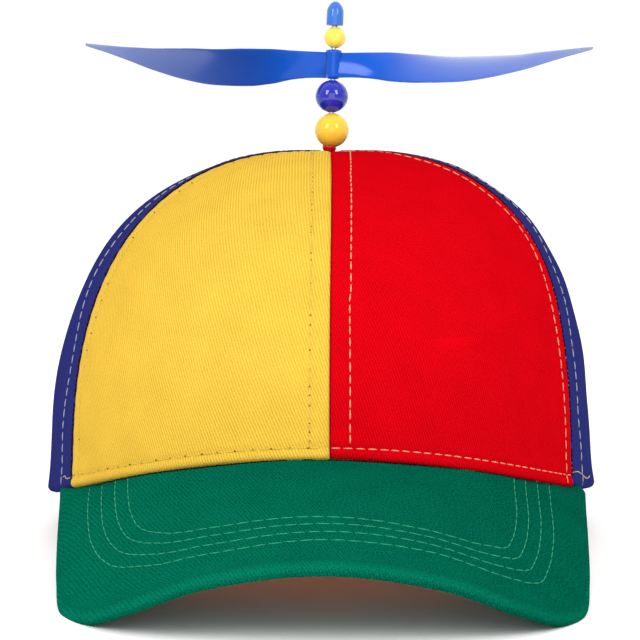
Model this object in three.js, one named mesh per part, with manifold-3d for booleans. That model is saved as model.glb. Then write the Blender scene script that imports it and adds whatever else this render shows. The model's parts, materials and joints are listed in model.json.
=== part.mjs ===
// Propeller cap: a six-panel cloth cap with a stiff curved peak. A toy propeller turns on a beaded
// post at the top of the crown. Millimetres, +Z up, the peak points to -Y.
//
// The cap is shaped in a level frame, where its hem lies flat. At the end it is leaned back as one
// group, so that it stands on the two corners of its peak and on its back hem.

import * as THREE from 'three';
import { mergeVertices } from 'three/addons/utils/BufferGeometryUtils.js';
import Module from 'manifold-3d';

const wasm = await Module();
wasm.setup();

// Crown: half sizes of the head opening, the hem's heights, and the place of the top
const HALF_WIDTH = 84.6;
const FRONT_REACH = 100;
const BACK_REACH = 98;
const HEM_LEVEL = 30.5;
const BROW_LEVEL = 44.4;
const BROW_POWER = 1.95;
const TOP_HEIGHT = 137.7;
const TOP_BACK = 3;
const TOP_RIGHT = 3.2;
const SIDE_DRIFT = 4.7;
const FRONT_DRIFT = 2.6;
const DRIFT_POWER = 2.66;
const MEETING_POWER = 4;

// How square the crown's profile is: 2 is an ellipse, more is squarer
const SIDE_PROFILE = { shoulder: 2.7, wall: 2.74 };
const FRONT_PROFILE = { shoulder: 2.2, wall: 2.75 };
const BACK_PROFILE = { shoulder: 2.3, wall: 2.4 };

// Cloth and the gaps between the pieces
const CLOTH = 1.6;
const GAP = 0.3;
const POST_HOLE = 1.25;

// The panels, each between two seams, in degrees from the front towards +X
const PANELS = [
  { name: 'front_panel_yellow', from: -62.5, to: 1.9, cloth: 'yellow' },
  { name: 'front_panel_red', from: 1.9, to: 64.4, cloth: 'red' },
  { name: 'side_panel_right', from: 64.4, to: 122, cloth: 'blue' },
  { name: 'back_panel_right', from: 122, to: 180, cloth: 'blue' },
  { name: 'back_panel_left', from: 180, to: 238, cloth: 'blue' },
  { name: 'side_panel_left', from: 238, to: 297.5, cloth: 'blue' },
];
const PANEL_COLUMNS = 10;
const PANEL_ROWS = 12;

// The rolled hem: climb is the share of the way up, proud and depth are measured from the crown's face
const HEM = [
  { climb: 0, proud: -0.2, depth: 1.7 },
  { climb: 0.012, proud: 0.55, depth: 2.2 },
  { climb: 0.035, proud: 0.75, depth: 2.4 },
  { climb: 0.065, proud: 0.5, depth: 2.2 },
  { climb: 0.09, proud: 0, depth: CLOTH },
];
const HEM_DEPTH = 2.4;

// The arch in the back and the strap across it
const ARCH_HALF_WIDTH = 39;
const ARCH_HEIGHT = 50;
const ARCH_COLUMNS = 6;
const STRAP_HEIGHT = 20;
const STRAP_THICKNESS = 2;
const STRAP_LAP = 11;
const STRAP_COLUMNS = 16;
const STRAP_ROWS = 4;

// The peak: outer edge of its middle surface, right half, from the middle to the end at the hem
const PEAK_EDGE = [
  { x: 0, y: -166, z: 18.4 },
  { x: 32, y: -159.5, z: 14 },
  { x: 52, y: -145.5, z: 6.6 },
  { x: 63.5, y: -130, z: 2.1 },
  { x: 70.5, y: -117.5, z: 3 },
  { x: 74.6, y: -102, z: 9 },
  { x: 77.2, y: -72, z: 19.5 },
  { x: 77, y: -47, z: 28 },
];
const PEAK_SPAN = THREE.MathUtils.degToRad(64);
const PEAK_SHIFT = 0.7;
const PEAK_HALF = 1.75;
const PEAK_CROWNING = 1.5;
const PEAK_TUCK = 1.6;
const PEAK_DROP = 1.95;
const PEAK_COLUMNS = 32;
const PEAK_ROWS = [
  { out: 0, half: PEAK_HALF },
  { out: 0.2, half: PEAK_HALF },
  { out: 0.4, half: PEAK_HALF },
  { out: 0.6, half: PEAK_HALF },
  { out: 0.8, half: PEAK_HALF },
  { out: 0.94, half: PEAK_HALF },
  { out: 0.985, half: 1.45 },
  { out: 1, half: 0.9 },
];

// The floor under the cap, as a plane in the level frame
const FLOOR_SLOPE = 0.14;
const FLOOR_FRONT = -135;

// The post and what is threaded on it, bottom and height measured up from the top of the crown
const STACK_LEAN_RIGHT = THREE.MathUtils.degToRad(2.1);
const STACK_LEAN_BACK = THREE.MathUtils.degToRad(1.4);
const POST_RADIUS = 0.8;
const BORE_RADIUS = POST_RADIUS + GAP;
const FLANGE = { radius: 7, thickness: 1.2, top: -2.3 };
const SPACER = { bottom: 0.35, height: 1.65, foot: 1.6, radius: 1.9, belt: 1, lip: 0.2 };
const BEADS = [
  { name: 'bead_yellow_large', bottom: 2.3, height: 10.1, finish: 'beadYellow' },
  { name: 'bead_blue_large', bottom: 12.7, height: 9.9, finish: 'beadBlue' },
  { name: 'bead_yellow_small', bottom: 33.2, height: 6.7, finish: 'beadPale' },
];
const HUB = { bottom: 22.9, height: 9.5, radius: 2.4, edge: 0.4 };
const FINIAL = { bottom: 40.2, height: 7.8, radius: 2.6, straight: 3.6, bore: 4, edge: 0.3 };
const FINIAL_POINT = 2.2;
const FINIAL_STEPS = 6;
const OVERCUT = 1;
const ROUND_STEPS = 16;
const BEAD_STEPS = 10;

// One propeller blade: sections along its length, with the lift of the mid-chord above the hub's middle
const BLADE = [
  { r: 1.7, chord: 9, pitch: 78, lift: 0 },
  { r: 8, chord: 9, pitch: 74, lift: 0.1 },
  { r: 15, chord: 10.4, pitch: 62, lift: -0.1 },
  { r: 22, chord: 14.9, pitch: 44, lift: -0.6 },
  { r: 30, chord: 19, pitch: 33, lift: -1 },
  { r: 37, chord: 18.6, pitch: 30, lift: -1.1 },
  { r: 44, chord: 17.2, pitch: 28, lift: -0.8 },
  { r: 52, chord: 13.6, pitch: 28, lift: 0 },
  { r: 60, chord: 8.6, pitch: 33, lift: 1.2 },
  { r: 68, chord: 5.2, pitch: 44, lift: 2.9 },
  { r: 76, chord: 2.6, pitch: 50, lift: 4.6 },
  { r: 82.5, chord: 0.9, pitch: 50, lift: 5.9 },
];
const BLADE_THICKNESS = 1;
const BLADE_COLUMNS = 32;
const BLADE_ROWS = 4;
const BLADE_SMOOTHING = 12;
const BLADE_CAMBER = 0.05;
const BLADE_THINNING = 0.5;
const PROPELLER_YAW = THREE.MathUtils.degToRad(-15);

// Finishes
const FINISHES = {
  yellow: { color: '#fad04e', roughness: 0.85, metalness: 0 },
  red: { color: '#e20414', roughness: 0.85, metalness: 0 },
  blue: { color: '#343b78', roughness: 0.85, metalness: 0 },
  green: { color: '#03704f', roughness: 0.85, metalness: 0 },
  steel: { color: '#8f98a8', roughness: 0.3, metalness: 1 },
  beadYellow: { color: '#fdd34a', roughness: 0.2, metalness: 0 },
  beadBlue: { color: '#2f33a6', roughness: 0.2, metalness: 0 },
  beadPale: { color: '#fde56c', roughness: 0.2, metalness: 0 },
  beadRed: { color: '#d51a1a', roughness: 0.25, metalness: 0 },
  bladeBlue: { color: '#1f4fc4', roughness: 0.25, metalness: 0 },
};

// Meshes and closed bodies

function makeMesh(name, geometry, finish) {
  const mesh = new THREE.Mesh(geometry, new THREE.MeshStandardMaterial(FINISHES[finish]));
  mesh.name = name;
  return mesh;
}

// Joins shared corners, drops triangles without area and turns the faces outwards
function closeBody(geometry) {
  geometry.deleteAttribute('normal');
  geometry.deleteAttribute('uv');
  const body = mergeVertices(geometry);
  const corners = body.index.array;
  const place = body.attributes.position;
  const [a, b, c] = [new THREE.Vector3(), new THREE.Vector3(), new THREE.Vector3()];
  const kept = [];
  let volume = 0;
  for (let i = 0; i < corners.length; i += 3) {
    const [p, q, r] = corners.slice(i, i + 3);
    if (p === q || q === r || r === p) continue;
    kept.push(p, q, r);
    volume += a.fromBufferAttribute(place, p).dot(
      b.fromBufferAttribute(place, q).cross(c.fromBufferAttribute(place, r)));
  }
  body.setIndex(volume < 0 ? kept.reverse() : kept);
  return body;
}

// Bends a box, whose sides run from 0 to 1, by a function of its three coordinates
function bendBox(columns, rows, layers, bend) {
  const box = new THREE.BoxGeometry(1, 1, 1, columns, rows, layers);
  box.translate(0.5, 0.5, 0.5);
  const place = box.attributes.position;
  for (let i = 0; i < place.count; i += 1) {
    const point = bend(place.getX(i), place.getY(i), place.getZ(i));
    place.setXYZ(i, point.x, point.y, point.z);
  }
  return closeBody(box);
}

// Turns a profile of (radius, height) pairs about the Z axis
function turn(profile, steps = ROUND_STEPS) {
  const points = profile.map(([radius, height]) => new THREE.Vector2(radius, height));
  return closeBody(new THREE.LatheGeometry(points, steps).rotateX(Math.PI / 2));
}

function toSolid(geometry) {
  return new wasm.Manifold(new wasm.Mesh({
    numProp: 3,
    vertProperties: geometry.attributes.position.array,
    triVerts: new Uint32Array(geometry.index.array),
  }));
}

function fromSolid(solid) {
  const { vertProperties, triVerts } = solid.getMesh();
  const geometry = new THREE.BufferGeometry();
  geometry.setAttribute('position', new THREE.BufferAttribute(vertProperties, 3));
  geometry.setIndex(Array.from(triVerts));
  return geometry;
}

// Reads a column of a table between two rows that hold the wanted place
function readTable(table, key, column, at) {
  const next = table.findIndex((row) => row[key] >= at);
  if (next <= 0) return table[next < 0 ? table.length - 1 : 0][column];
  const [low, high] = [table[next - 1], table[next]];
  return THREE.MathUtils.mapLinear(at, low[key], high[key], low[column], high[column]);
}

// The crown's outer face

function floorHeight(y) {
  return FLOOR_SLOPE * (y - FLOOR_FRONT);
}

function hemPoint(angle) {
  const forward = Math.cos(angle);
  const reach = forward > 0 ? FRONT_REACH : BACK_REACH;
  const point = new THREE.Vector3(HALF_WIDTH * Math.sin(angle), -reach * forward, HEM_LEVEL);
  point.z += (BROW_LEVEL - HEM_LEVEL) * Math.max(forward, 0) ** BROW_POWER;
  return point;
}

function liesOnFloor(angle) {
  const point = hemPoint(angle);
  return floorHeight(point.y) > point.z;
}

// angle runs round the head from the front towards +X, climb from the hem at 0 to the top at 1
function crownPoint(angle, climb) {
  const hem = hemPoint(angle);
  const base = Math.max(hem.z, floorHeight(hem.y));
  const facing = Math.cos(angle) ** 2;
  const end = Math.cos(angle) > 0 ? FRONT_PROFILE : BACK_PROFILE;
  const shoulder = THREE.MathUtils.lerp(SIDE_PROFILE.shoulder, end.shoulder, facing);
  const wall = THREE.MathUtils.lerp(SIDE_PROFILE.wall, end.wall, facing);
  const turnUp = (Math.PI / 2) * climb ** (wall / 2);
  const spread = Math.max(Math.cos(turnUp), 0) ** (2 / shoulder);
  const rise = Math.sin(turnUp) ** (2 / wall);
  const lean = THREE.MathUtils.lerp(SIDE_DRIFT, FRONT_DRIFT, facing);
  const drift = rise ** DRIFT_POWER * THREE.MathUtils.lerp(lean, TOP_RIGHT, (1 - spread) ** MEETING_POWER);
  return new THREE.Vector3(
    hem.x * spread + drift,
    hem.y * spread + TOP_BACK * (1 - spread),
    THREE.MathUtils.lerp(base, TOP_HEIGHT, rise),
  );
}

// Small steps for slopes, and halvings in a search
const STEP = 1e-3;
const SEARCH_STEPS = 30;

function crownAround(angle, climb) {
  return crownPoint(angle + STEP, climb).sub(crownPoint(angle - STEP, climb)).divideScalar(2 * STEP);
}

function crownNormal(angle, climb) {
  const low = Math.max(climb - STEP, 0);
  const high = Math.min(climb + STEP, 1 - STEP);
  const up = crownPoint(angle, high).sub(crownPoint(angle, low));
  return crownAround(angle, climb).cross(up).normalize();
}

// A point of the cloth, outside the crown's face where offset is above 0
function clothPoint(angle, climb, offset) {
  return crownPoint(angle, climb).addScaledVector(crownNormal(angle, climb), offset);
}

// The climb at which a panel ends round the post
function topClimb(angle) {
  const top = crownPoint(angle, 1);
  let [low, high] = [0.5, 1];
  for (let i = 0; i < SEARCH_STEPS; i += 1) {
    const climb = (low + high) / 2;
    if (crownPoint(angle, climb).distanceTo(top) > POST_HOLE) low = climb;
    else high = climb;
  }
  return low;
}

// The climb at which the back of the crown has risen by a height
function climbOf(height) {
  const rise = height / (TOP_HEIGHT - HEM_LEVEL);
  const turnUp = Math.asin(rise ** (BACK_PROFILE.wall / 2));
  return (turnUp / (Math.PI / 2)) ** (2 / BACK_PROFILE.wall);
}

// Half an ellipse cut out of the back hem: the climb at which the cloth starts
function archClimb(angle) {
  const across = Math.abs(hemPoint(angle).x) / ARCH_HALF_WIDTH;
  if (Math.cos(angle) > 0 || across >= 1) return 0;
  return climbOf(ARCH_HEIGHT * Math.sqrt(1 - across ** 2));
}

// Panels

// Columns of a back panel crowd towards the arch's foot, so that the arch stays round
function panelAngle(from, to, column) {
  const even = THREE.MathUtils.lerp(from, to, column);
  const middle = [from, to].find((edge) => Math.abs(Math.cos(edge) + 1) < 1e-9);
  if (middle === undefined) return even;
  const archAngle = Math.asin(ARCH_HALF_WIDTH / HALF_WIDTH);
  const away = Math.abs(column - (middle === from ? 0 : 1));
  const share = ARCH_COLUMNS / PANEL_COLUMNS;
  const foot = archAngle / Math.abs(to - from);
  const shifted = away < share
    ? foot * Math.sin((Math.PI / 2) * (away / share))
    : THREE.MathUtils.mapLinear(away, share, 1, foot, 1);
  return THREE.MathUtils.lerp(middle, middle === from ? to : from, shifted);
}

function panelClimb(row, start, end) {
  const hemRows = HEM.length - 1;
  const hemTop = HEM[hemRows].climb;
  const step = Math.round(row * (PANEL_ROWS + hemRows));
  const climb = step <= hemRows
    ? HEM[step].climb
    : THREE.MathUtils.mapLinear(step, hemRows, PANEL_ROWS + hemRows, hemTop, end);
  return THREE.MathUtils.mapLinear(climb, 0, end, start, end);
}

function makePanel({ from, to }) {
  const [low, high] = [from, to].map(THREE.MathUtils.degToRad);
  return bendBox(PANEL_COLUMNS, PANEL_ROWS + HEM.length - 1, 1, (column, row, layer) => {
    const seamAngle = panelAngle(low, high, column);
    const start = archClimb(seamAngle);
    const climb = panelClimb(row, start, topClimb(seamAngle));
    const trim = GAP / 2 / crownAround(seamAngle, climb).length();
    const angle = THREE.MathUtils.clamp(seamAngle, low + trim, high - trim);
    const hemShare = Math.max(climb - start, 0);
    const proud = readTable(HEM, 'climb', 'proud', hemShare);
    const depth = readTable(HEM, 'climb', 'depth', hemShare);
    const point = clothPoint(angle, climb, layer > 0.5 ? proud : -depth);
    if (climb === 0 && liesOnFloor(angle)) point.z = floorHeight(point.y);
    return point;
  });
}

// The strap lies against the inside of the hem, with its lower edge on the floor
function makeStrap() {
  const reach = Math.asin((ARCH_HALF_WIDTH + STRAP_LAP) / HALF_WIDTH);
  const outside = HEM_DEPTH + GAP;
  return bendBox(STRAP_COLUMNS, STRAP_ROWS, 1, (column, row, layer) => {
    const angle = Math.PI + (column * 2 - 1) * reach;
    const climb = climbOf(row * STRAP_HEIGHT);
    const point = clothPoint(angle, climb, -outside - (1 - layer) * STRAP_THICKNESS);
    if (row === 0 && liesOnFloor(angle)) point.z = floorHeight(point.y);
    return point;
  });
}

// Peak

const peakEdge = new THREE.CatmullRomCurve3([
  ...PEAK_EDGE.slice(1).reverse().map(({ x, y, z }) => new THREE.Vector3(PEAK_SHIFT - x, y, z)),
  ...PEAK_EDGE.map(({ x, y, z }) => new THREE.Vector3(PEAK_SHIFT + x, y, z)),
]);

// The peak's middle surface: across runs along the hem, out from the hem to the front edge
function peakMiddle(across, out) {
  const angle = PEAK_SPAN * (across * 2 - 1);
  const inner = clothPoint(angle, 0, -PEAK_TUCK);
  inner.z = hemPoint(angle).z - GAP - PEAK_DROP;
  const point = inner.lerp(peakEdge.getPointAt(across), out);
  point.z += PEAK_CROWNING * 4 * out * (1 - out);
  return point;
}

function peakNormal(across, out) {
  const [left, right] = [Math.max(across - STEP, 0), Math.min(across + STEP, 1)];
  const [near, far] = [Math.max(out - STEP, 0), Math.min(out + STEP, 1)];
  const along = peakMiddle(right, out).sub(peakMiddle(left, out));
  const forward = peakMiddle(across, far).sub(peakMiddle(across, near));
  return forward.cross(along).normalize();
}

function makePeak() {
  const rows = PEAK_ROWS.length - 1;
  return bendBox(PEAK_COLUMNS, rows, 1, (column, row, layer) => {
    const { out, half } = PEAK_ROWS[rows - Math.round(row * rows)];
    const point = peakMiddle(column, out);
    point.addScaledVector(peakNormal(column, out), (layer * 2 - 1) * half);
    point.z = Math.max(point.z, floorHeight(point.y));
    return point;
  });
}

// Post, beads and propeller

function makePost() {
  const tip = FINIAL.bottom + FINIAL.bore - GAP;
  return turn([
    [0, FLANGE.top - FLANGE.thickness],
    [FLANGE.radius, FLANGE.top - FLANGE.thickness],
    [FLANGE.radius, FLANGE.top],
    [POST_RADIUS, FLANGE.top],
    [POST_RADIUS, tip],
    [0, tip],
  ]);
}

function makeSpacer({ bottom, height, foot, radius, belt, lip }) {
  return turn([
    [BORE_RADIUS, bottom],
    [foot, bottom],
    [radius, bottom + belt],
    [radius - lip, bottom + height],
    [BORE_RADIUS, bottom + height],
    [BORE_RADIUS, bottom],
  ]);
}

function makeBead({ bottom, height }) {
  const radius = height / 2;
  const rim = Math.asin(BORE_RADIUS / radius);
  const profile = [];
  for (let i = 0; i <= BEAD_STEPS; i += 1) {
    const angle = THREE.MathUtils.lerp(rim, Math.PI - rim, i / BEAD_STEPS);
    profile.push([radius * Math.sin(angle), bottom + radius * (1 - Math.cos(angle))]);
  }
  profile.push(profile[0]);
  return turn(profile);
}

// A bullet shape: a straight foot, then an arc that closes on the axis
function makeFinial({ bottom, height, radius, straight, bore, edge }) {
  const domeHeight = height - straight;
  const profile = [[0, bottom + bore], [BORE_RADIUS, bottom + bore], [BORE_RADIUS, bottom]];
  profile.push([radius - edge, bottom], [radius, bottom + edge]);
  for (let i = 0; i <= FINIAL_STEPS; i += 1) {
    const share = i / FINIAL_STEPS;
    profile.push([radius * (1 - share ** FINIAL_POINT), bottom + straight + domeHeight * share]);
  }
  return turn(profile);
}

// Smooth curves through the blade's sections, read by their distance from the axis
const bladeCurves = Object.fromEntries(['chord', 'pitch', 'lift'].map((key) => {
  const spline = new THREE.SplineCurve(BLADE.map((row) => new THREE.Vector2(row.r, row[key])));
  const fine = spline.getPoints(BLADE.length * BLADE_SMOOTHING).map((point) => ({ r: point.x, value: point.y }));
  return [key, (r) => readTable(fine, 'r', 'value', r)];
}));

// along runs from the hub to the tip, across over the chord, side through the thickness
function bladePoint(along, across, side) {
  const r = THREE.MathUtils.lerp(BLADE[0].r, BLADE[BLADE.length - 1].r, along);
  const [chord, pitchDegrees, lift] = ['chord', 'pitch', 'lift'].map((key) => bladeCurves[key](r));
  const pitch = THREE.MathUtils.degToRad(pitchDegrees);
  const width = (across - 0.5) * chord;
  const edge = 1 - BLADE_THINNING * (2 * across - 1) ** 4;
  const arch = BLADE_CAMBER * chord * (1 - (2 * across - 1) ** 2);
  const rise = arch + (side - 0.5) * BLADE_THICKNESS * edge;
  return new THREE.Vector3(
    r,
    width * Math.cos(pitch) - rise * Math.sin(pitch),
    HUB.bottom + HUB.height / 2 + lift + width * Math.sin(pitch) + rise * Math.cos(pitch),
  );
}

function makePropeller() {
  const { bottom, height, radius, edge } = HUB;
  const hub = turn([
    [0, bottom],
    [radius - edge, bottom],
    [radius, bottom + edge],
    [radius, bottom + height - edge],
    [radius - edge, bottom + height],
    [0, bottom + height],
  ]);
  const bore = turn([
    [0, bottom - OVERCUT],
    [BORE_RADIUS, bottom - OVERCUT],
    [BORE_RADIUS, bottom + height + OVERCUT],
    [0, bottom + height + OVERCUT],
  ]);
  const blade = bendBox(BLADE_COLUMNS, BLADE_ROWS, 1, bladePoint);
  const opposite = blade.clone().rotateZ(Math.PI);
  const moulding = toSolid(hub).add(toSolid(blade)).add(toSolid(opposite)).subtract(toSolid(bore));
  return fromSolid(moulding);
}

// Assembly

const cap = new THREE.Group();
for (const panel of PANELS) cap.add(makeMesh(panel.name, makePanel(panel), panel.cloth));
cap.add(makeMesh('peak', makePeak(), 'green'));
cap.add(makeMesh('back_strap', makeStrap(), 'blue'));

const stack = new THREE.Group();
stack.position.copy(crownPoint(0, 1));
stack.rotation.set(-STACK_LEAN_BACK, STACK_LEAN_RIGHT, 0);
stack.add(makeMesh('post', makePost(), 'steel'));
stack.add(makeMesh('spacer_bead_red', makeSpacer(SPACER), 'beadRed'));
for (const bead of BEADS) stack.add(makeMesh(bead.name, makeBead(bead), bead.finish));
stack.add(makeMesh('finial', makeFinial(FINIAL), 'bladeBlue'));
const propeller = makeMesh('propeller', makePropeller(), 'bladeBlue');
propeller.rotation.z = PROPELLER_YAW;
stack.add(propeller);
cap.add(stack);

// Lean the cap back onto the floor and put the origin under the middle of its box
const group = new THREE.Group();
cap.rotation.x = -Math.atan(FLOOR_SLOPE);
group.add(cap);
group.updateMatrixWorld(true);
const box = new THREE.Box3().setFromObject(group, true);
const middle = box.getCenter(new THREE.Vector3());
cap.position.set(-middle.x, -middle.y, -box.min.z);

export default group;
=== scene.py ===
"""Propeller cap: cloth, thread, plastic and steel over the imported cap, in a white studio.

The cap is shaped in a level frame, in which its hem is level and the camera looks straight ahead,
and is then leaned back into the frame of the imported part. All sizes are in metres.
"""

import json
import logging
import math
import random
from collections.abc import Callable, Sequence
from dataclasses import dataclass, field
from enum import Enum

import bmesh
import bpy
import numpy as np
from bmesh.types import BMesh
from mathutils import Matrix, Vector
from mathutils.bvhtree import BVHTree


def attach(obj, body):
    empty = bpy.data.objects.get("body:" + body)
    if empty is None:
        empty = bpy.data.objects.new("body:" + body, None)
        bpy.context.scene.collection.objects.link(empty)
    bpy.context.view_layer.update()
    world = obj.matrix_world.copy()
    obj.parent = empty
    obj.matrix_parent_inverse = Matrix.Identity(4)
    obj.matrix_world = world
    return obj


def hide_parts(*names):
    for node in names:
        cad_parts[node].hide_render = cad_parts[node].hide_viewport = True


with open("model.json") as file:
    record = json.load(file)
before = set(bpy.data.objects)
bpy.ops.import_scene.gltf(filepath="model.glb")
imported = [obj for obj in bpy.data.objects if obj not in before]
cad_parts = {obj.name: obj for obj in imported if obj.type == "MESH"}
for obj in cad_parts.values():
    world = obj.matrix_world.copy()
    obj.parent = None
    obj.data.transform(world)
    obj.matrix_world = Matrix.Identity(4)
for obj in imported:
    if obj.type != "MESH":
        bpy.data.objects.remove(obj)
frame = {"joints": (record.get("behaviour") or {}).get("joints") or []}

LOG = logging.getLogger("propeller_cap")
MM_PER_METRE = 1000

# The length of cloth that one unit of the flat coordinates covers, the layer that holds them, and the
# layer of painted highlight
CLOTH_TILE = 0.25
CLOTH_TILE_MM = CLOTH_TILE * MM_PER_METRE
CLOTH = "cloth"
PAINTED_HIGHLIGHT = "painted_highlight"

# Points closer than a weld are one point, and edges that bend more than this stay sharp
WELD = 1e-6
TURNED_WELD = 1e-7
SHARP = math.radians(42)

# The shortest stitch that is sewn, and the largest share of light that a surface returns
SHORTEST_STITCH = 1e-5
BRIGHTEST = 0.95

Place = Callable[[np.ndarray, np.ndarray], tuple[np.ndarray, np.ndarray]]
Spot = tuple[Vector, Vector]


def smooth_through(at: np.ndarray, knots: np.ndarray, values: np.ndarray) -> np.ndarray:
    """Reads a smooth curve through a table.

    Args:
        at: where to read.
        knots: rising positions of the table's entries.
        values: the entries, one per knot.
    Returns:
        The curve's values at the wanted positions.
    """
    slopes = np.gradient(values, knots)
    cell = np.clip(np.searchsorted(knots, at) - 1, 0, len(knots) - 2)
    span = knots[cell + 1] - knots[cell]
    t = (at - knots[cell]) / span
    return (
        values[cell] * (1 + 2 * t) * (1 - t) ** 2
        + slopes[cell] * span * t * (1 - t) ** 2
        + values[cell + 1] * (3 - 2 * t) * t**2
        + slopes[cell + 1] * span * (t - 1) * t**2
    )


def bell(distance: np.ndarray, width: float) -> np.ndarray:
    """Returns a smooth bump of height 1 that fades within about two widths."""
    return np.exp(-((distance / width) ** 2))


def lerp(start: np.ndarray, end: np.ndarray, share: np.ndarray) -> np.ndarray:
    """Returns the blend of two values."""
    return start + (end - start) * share


def linear(red: int, green: int, blue: int, gain: float = 1.0) -> tuple[float, float, float, float]:
    """Turns a colour as seen on a screen into a surface colour.

    Args:
        red, green, blue: the screen colour, 0 to 255.
        gain: factor on the light that the surface returns.
    Returns:
        The colour for a shader socket.
    """
    shares = [channel / 255 for channel in (red, green, blue)]
    light = [s / 12.92 if s <= 0.04045 else ((s + 0.055) / 1.055) ** 2.4 for s in shares]
    return tuple(min(gain * value, BRIGHTEST) for value in light) + (1.0,)


class LevelFrame:
    """The frame in which the cap's hem is level. It is placed by the propeller's joint."""

    LEAN = math.atan(0.14)
    APEX = Vector((0.0032, 0.003, 0.1377))
    HUB_MIDDLE = 0.02765
    STACK_BACK = math.radians(1.4)
    STACK_RIGHT = math.radians(2.1)

    def __init__(self, joint: dict) -> None:
        """Finds the frame's place.

        Args:
            joint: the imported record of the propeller's joint.
        """
        lean = Matrix.Rotation(-self.LEAN, 4, "X")
        apex = Vector(joint["pos_m"]) - Vector(joint["axis"]) * self.HUB_MIDDLE
        self.matrix = Matrix.Translation(apex - lean @ self.APEX) @ lean
        tip = Matrix.Rotation(-self.STACK_BACK, 4, "X") @ Matrix.Rotation(self.STACK_RIGHT, 4, "Y")
        self.stack = self.matrix @ Matrix.Translation(self.APEX) @ tip

    def points(self, level: np.ndarray) -> np.ndarray:
        """Returns points of the level frame, given as rows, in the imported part's frame."""
        turn = np.array(self.matrix.to_3x3())
        return level @ turn.T + np.array(self.matrix.translation)

    def point(self, x: float, y: float, z: float) -> Vector:
        """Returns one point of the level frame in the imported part's frame."""
        return self.matrix @ Vector((x, y, z))

    def direction(self, x: float, y: float, z: float) -> Vector:
        """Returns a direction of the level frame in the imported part's frame."""
        return self.matrix.to_3x3() @ Vector((x, y, z))


class Sock:
    """A shader output that takes part in arithmetic."""

    def __init__(self, graph: "Graph", socket: bpy.types.NodeSocket) -> None:
        """Wraps an output socket of a node graph."""
        self.graph = graph
        self.socket = socket

    def __add__(self, other: "Sock | float") -> "Sock":
        """Returns the sum."""
        return self.graph.math("ADD", self, other)

    __radd__ = __add__

    def __sub__(self, other: "Sock | float") -> "Sock":
        """Returns the difference."""
        return self.graph.math("SUBTRACT", self, other)

    def __rsub__(self, other: float) -> "Sock":
        """Returns the difference from a number."""
        return self.graph.math("SUBTRACT", other, self)

    def __mul__(self, other: "Sock | float") -> "Sock":
        """Returns the product."""
        return self.graph.math("MULTIPLY", self, other)

    __rmul__ = __mul__

    def __truediv__(self, other: "Sock | float") -> "Sock":
        """Returns the quotient."""
        return self.graph.math("DIVIDE", self, other)

    def __pow__(self, other: "Sock | float") -> "Sock":
        """Returns the power."""
        return self.graph.math("POWER", self, other)

    def sine(self) -> "Sock":
        """Returns the sine."""
        return self.graph.math("SINE", self, 0.0)


class Graph:
    """The node graph of one material."""

    def __init__(self, name: str) -> None:
        """Starts a material with a plain surface shader.

        Args:
            name: the material's name.
        """
        self.material = bpy.data.materials.new(name)
        self.material.use_nodes = True
        self.tree = self.material.node_tree
        self.surface = self.tree.nodes["Principled BSDF"]

    def node(
        self, kind: str, settings: dict | None = None, inputs: dict | None = None
    ) -> bpy.types.Node:
        """Adds a node.

        Args:
            kind: the node's type.
            settings: its properties, set first.
            inputs: its input sockets' values or links, by socket name or number.
        Returns:
            The node.
        """
        made = self.tree.nodes.new(kind)
        for key, value in (settings or {}).items():
            setattr(made, key, value)
        for key, value in (inputs or {}).items():
            self.feed(made.inputs[key], value)
        return made

    def feed(self, socket: bpy.types.NodeSocket, value: "Sock | float | tuple") -> None:
        """Links an output to a socket, or sets the socket's value.

        Args:
            socket: the input socket.
            value: the output to link, or the value to set.
        """
        if isinstance(value, Sock):
            self.tree.links.new(value.socket, socket)
        else:
            socket.default_value = value

    def math(self, operation: str, first: "Sock | float", second: "Sock | float") -> Sock:
        """Returns the output of a Math node."""
        made = self.node("ShaderNodeMath", {"operation": operation}, {0: first, 1: second})
        return Sock(self, made.outputs[0])

    def cloth(self) -> tuple[Sock, Sock, Sock]:
        """Reads the piece's own flat coordinates.

        Returns:
            The pair, then its values across and up in millimetres.
        """
        flat = Sock(self, self.node("ShaderNodeUVMap", {"uv_map": CLOTH}).outputs["UV"])
        split = self.node("ShaderNodeSeparateXYZ", None, {"Vector": flat})
        across = Sock(self, split.outputs["X"]) * CLOTH_TILE_MM
        up = Sock(self, split.outputs["Y"]) * CLOTH_TILE_MM
        return flat, across, up

    def painted_highlight_share(self) -> Sock:
        """Returns the share of painted highlight on the piece's surface, from 0 to 1."""
        return Sock(self, self.node("ShaderNodeAttribute", {"attribute_name": PAINTED_HIGHLIGHT}).outputs["Fac"])

    def place(self) -> Sock:
        """Returns the place on the piece, in metres."""
        return Sock(self, self.node("ShaderNodeTexCoord").outputs["Object"])

    def noise(self, where: Sock, scale: float, detail: float = 2.0) -> Sock:
        """Returns soft noise between 0 and 1."""
        made = self.node("ShaderNodeTexNoise", None, {"Vector": where, "Scale": scale, "Detail": detail})
        return Sock(self, made.outputs["Fac"])

    def blend(self, share: Sock, start: "Sock | tuple", end: "Sock | tuple") -> Sock:
        """Blends two colours.

        Args:
            share: the second colour's share.
            start, end: the two colours.
        Returns:
            The blend.
        """
        settings = {"data_type": "RGBA", "clamp_factor": True}
        # A Mix node has sockets of every type. Sockets 6 and 7 are its two colours.
        made = self.node("ShaderNodeMix", settings, {0: share, 6: start, 7: end})
        return Sock(self, made.outputs[2])

    def bump(self, height: Sock, distance: float, strength: float) -> Sock:
        """Roughens the surface's normal.

        Args:
            height: the relief, from 0 to 1.
            distance: the relief's size in metres.
            strength: how strongly it shows.
        Returns:
            The normal.
        """
        made = self.node(
            "ShaderNodeBump", None, {"Height": height, "Distance": distance, "Strength": strength}
        )
        return Sock(self, made.outputs["Normal"])

    def dress(self, values: dict[str, "Sock | float | tuple"]) -> bpy.types.Material:
        """Sets the surface shader's sockets.

        Args:
            values: the values or links, by socket name.
        Returns:
            The material.
        """
        for key, value in values.items():
            self.feed(self.surface.inputs[key], value)
        return self.material


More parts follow.
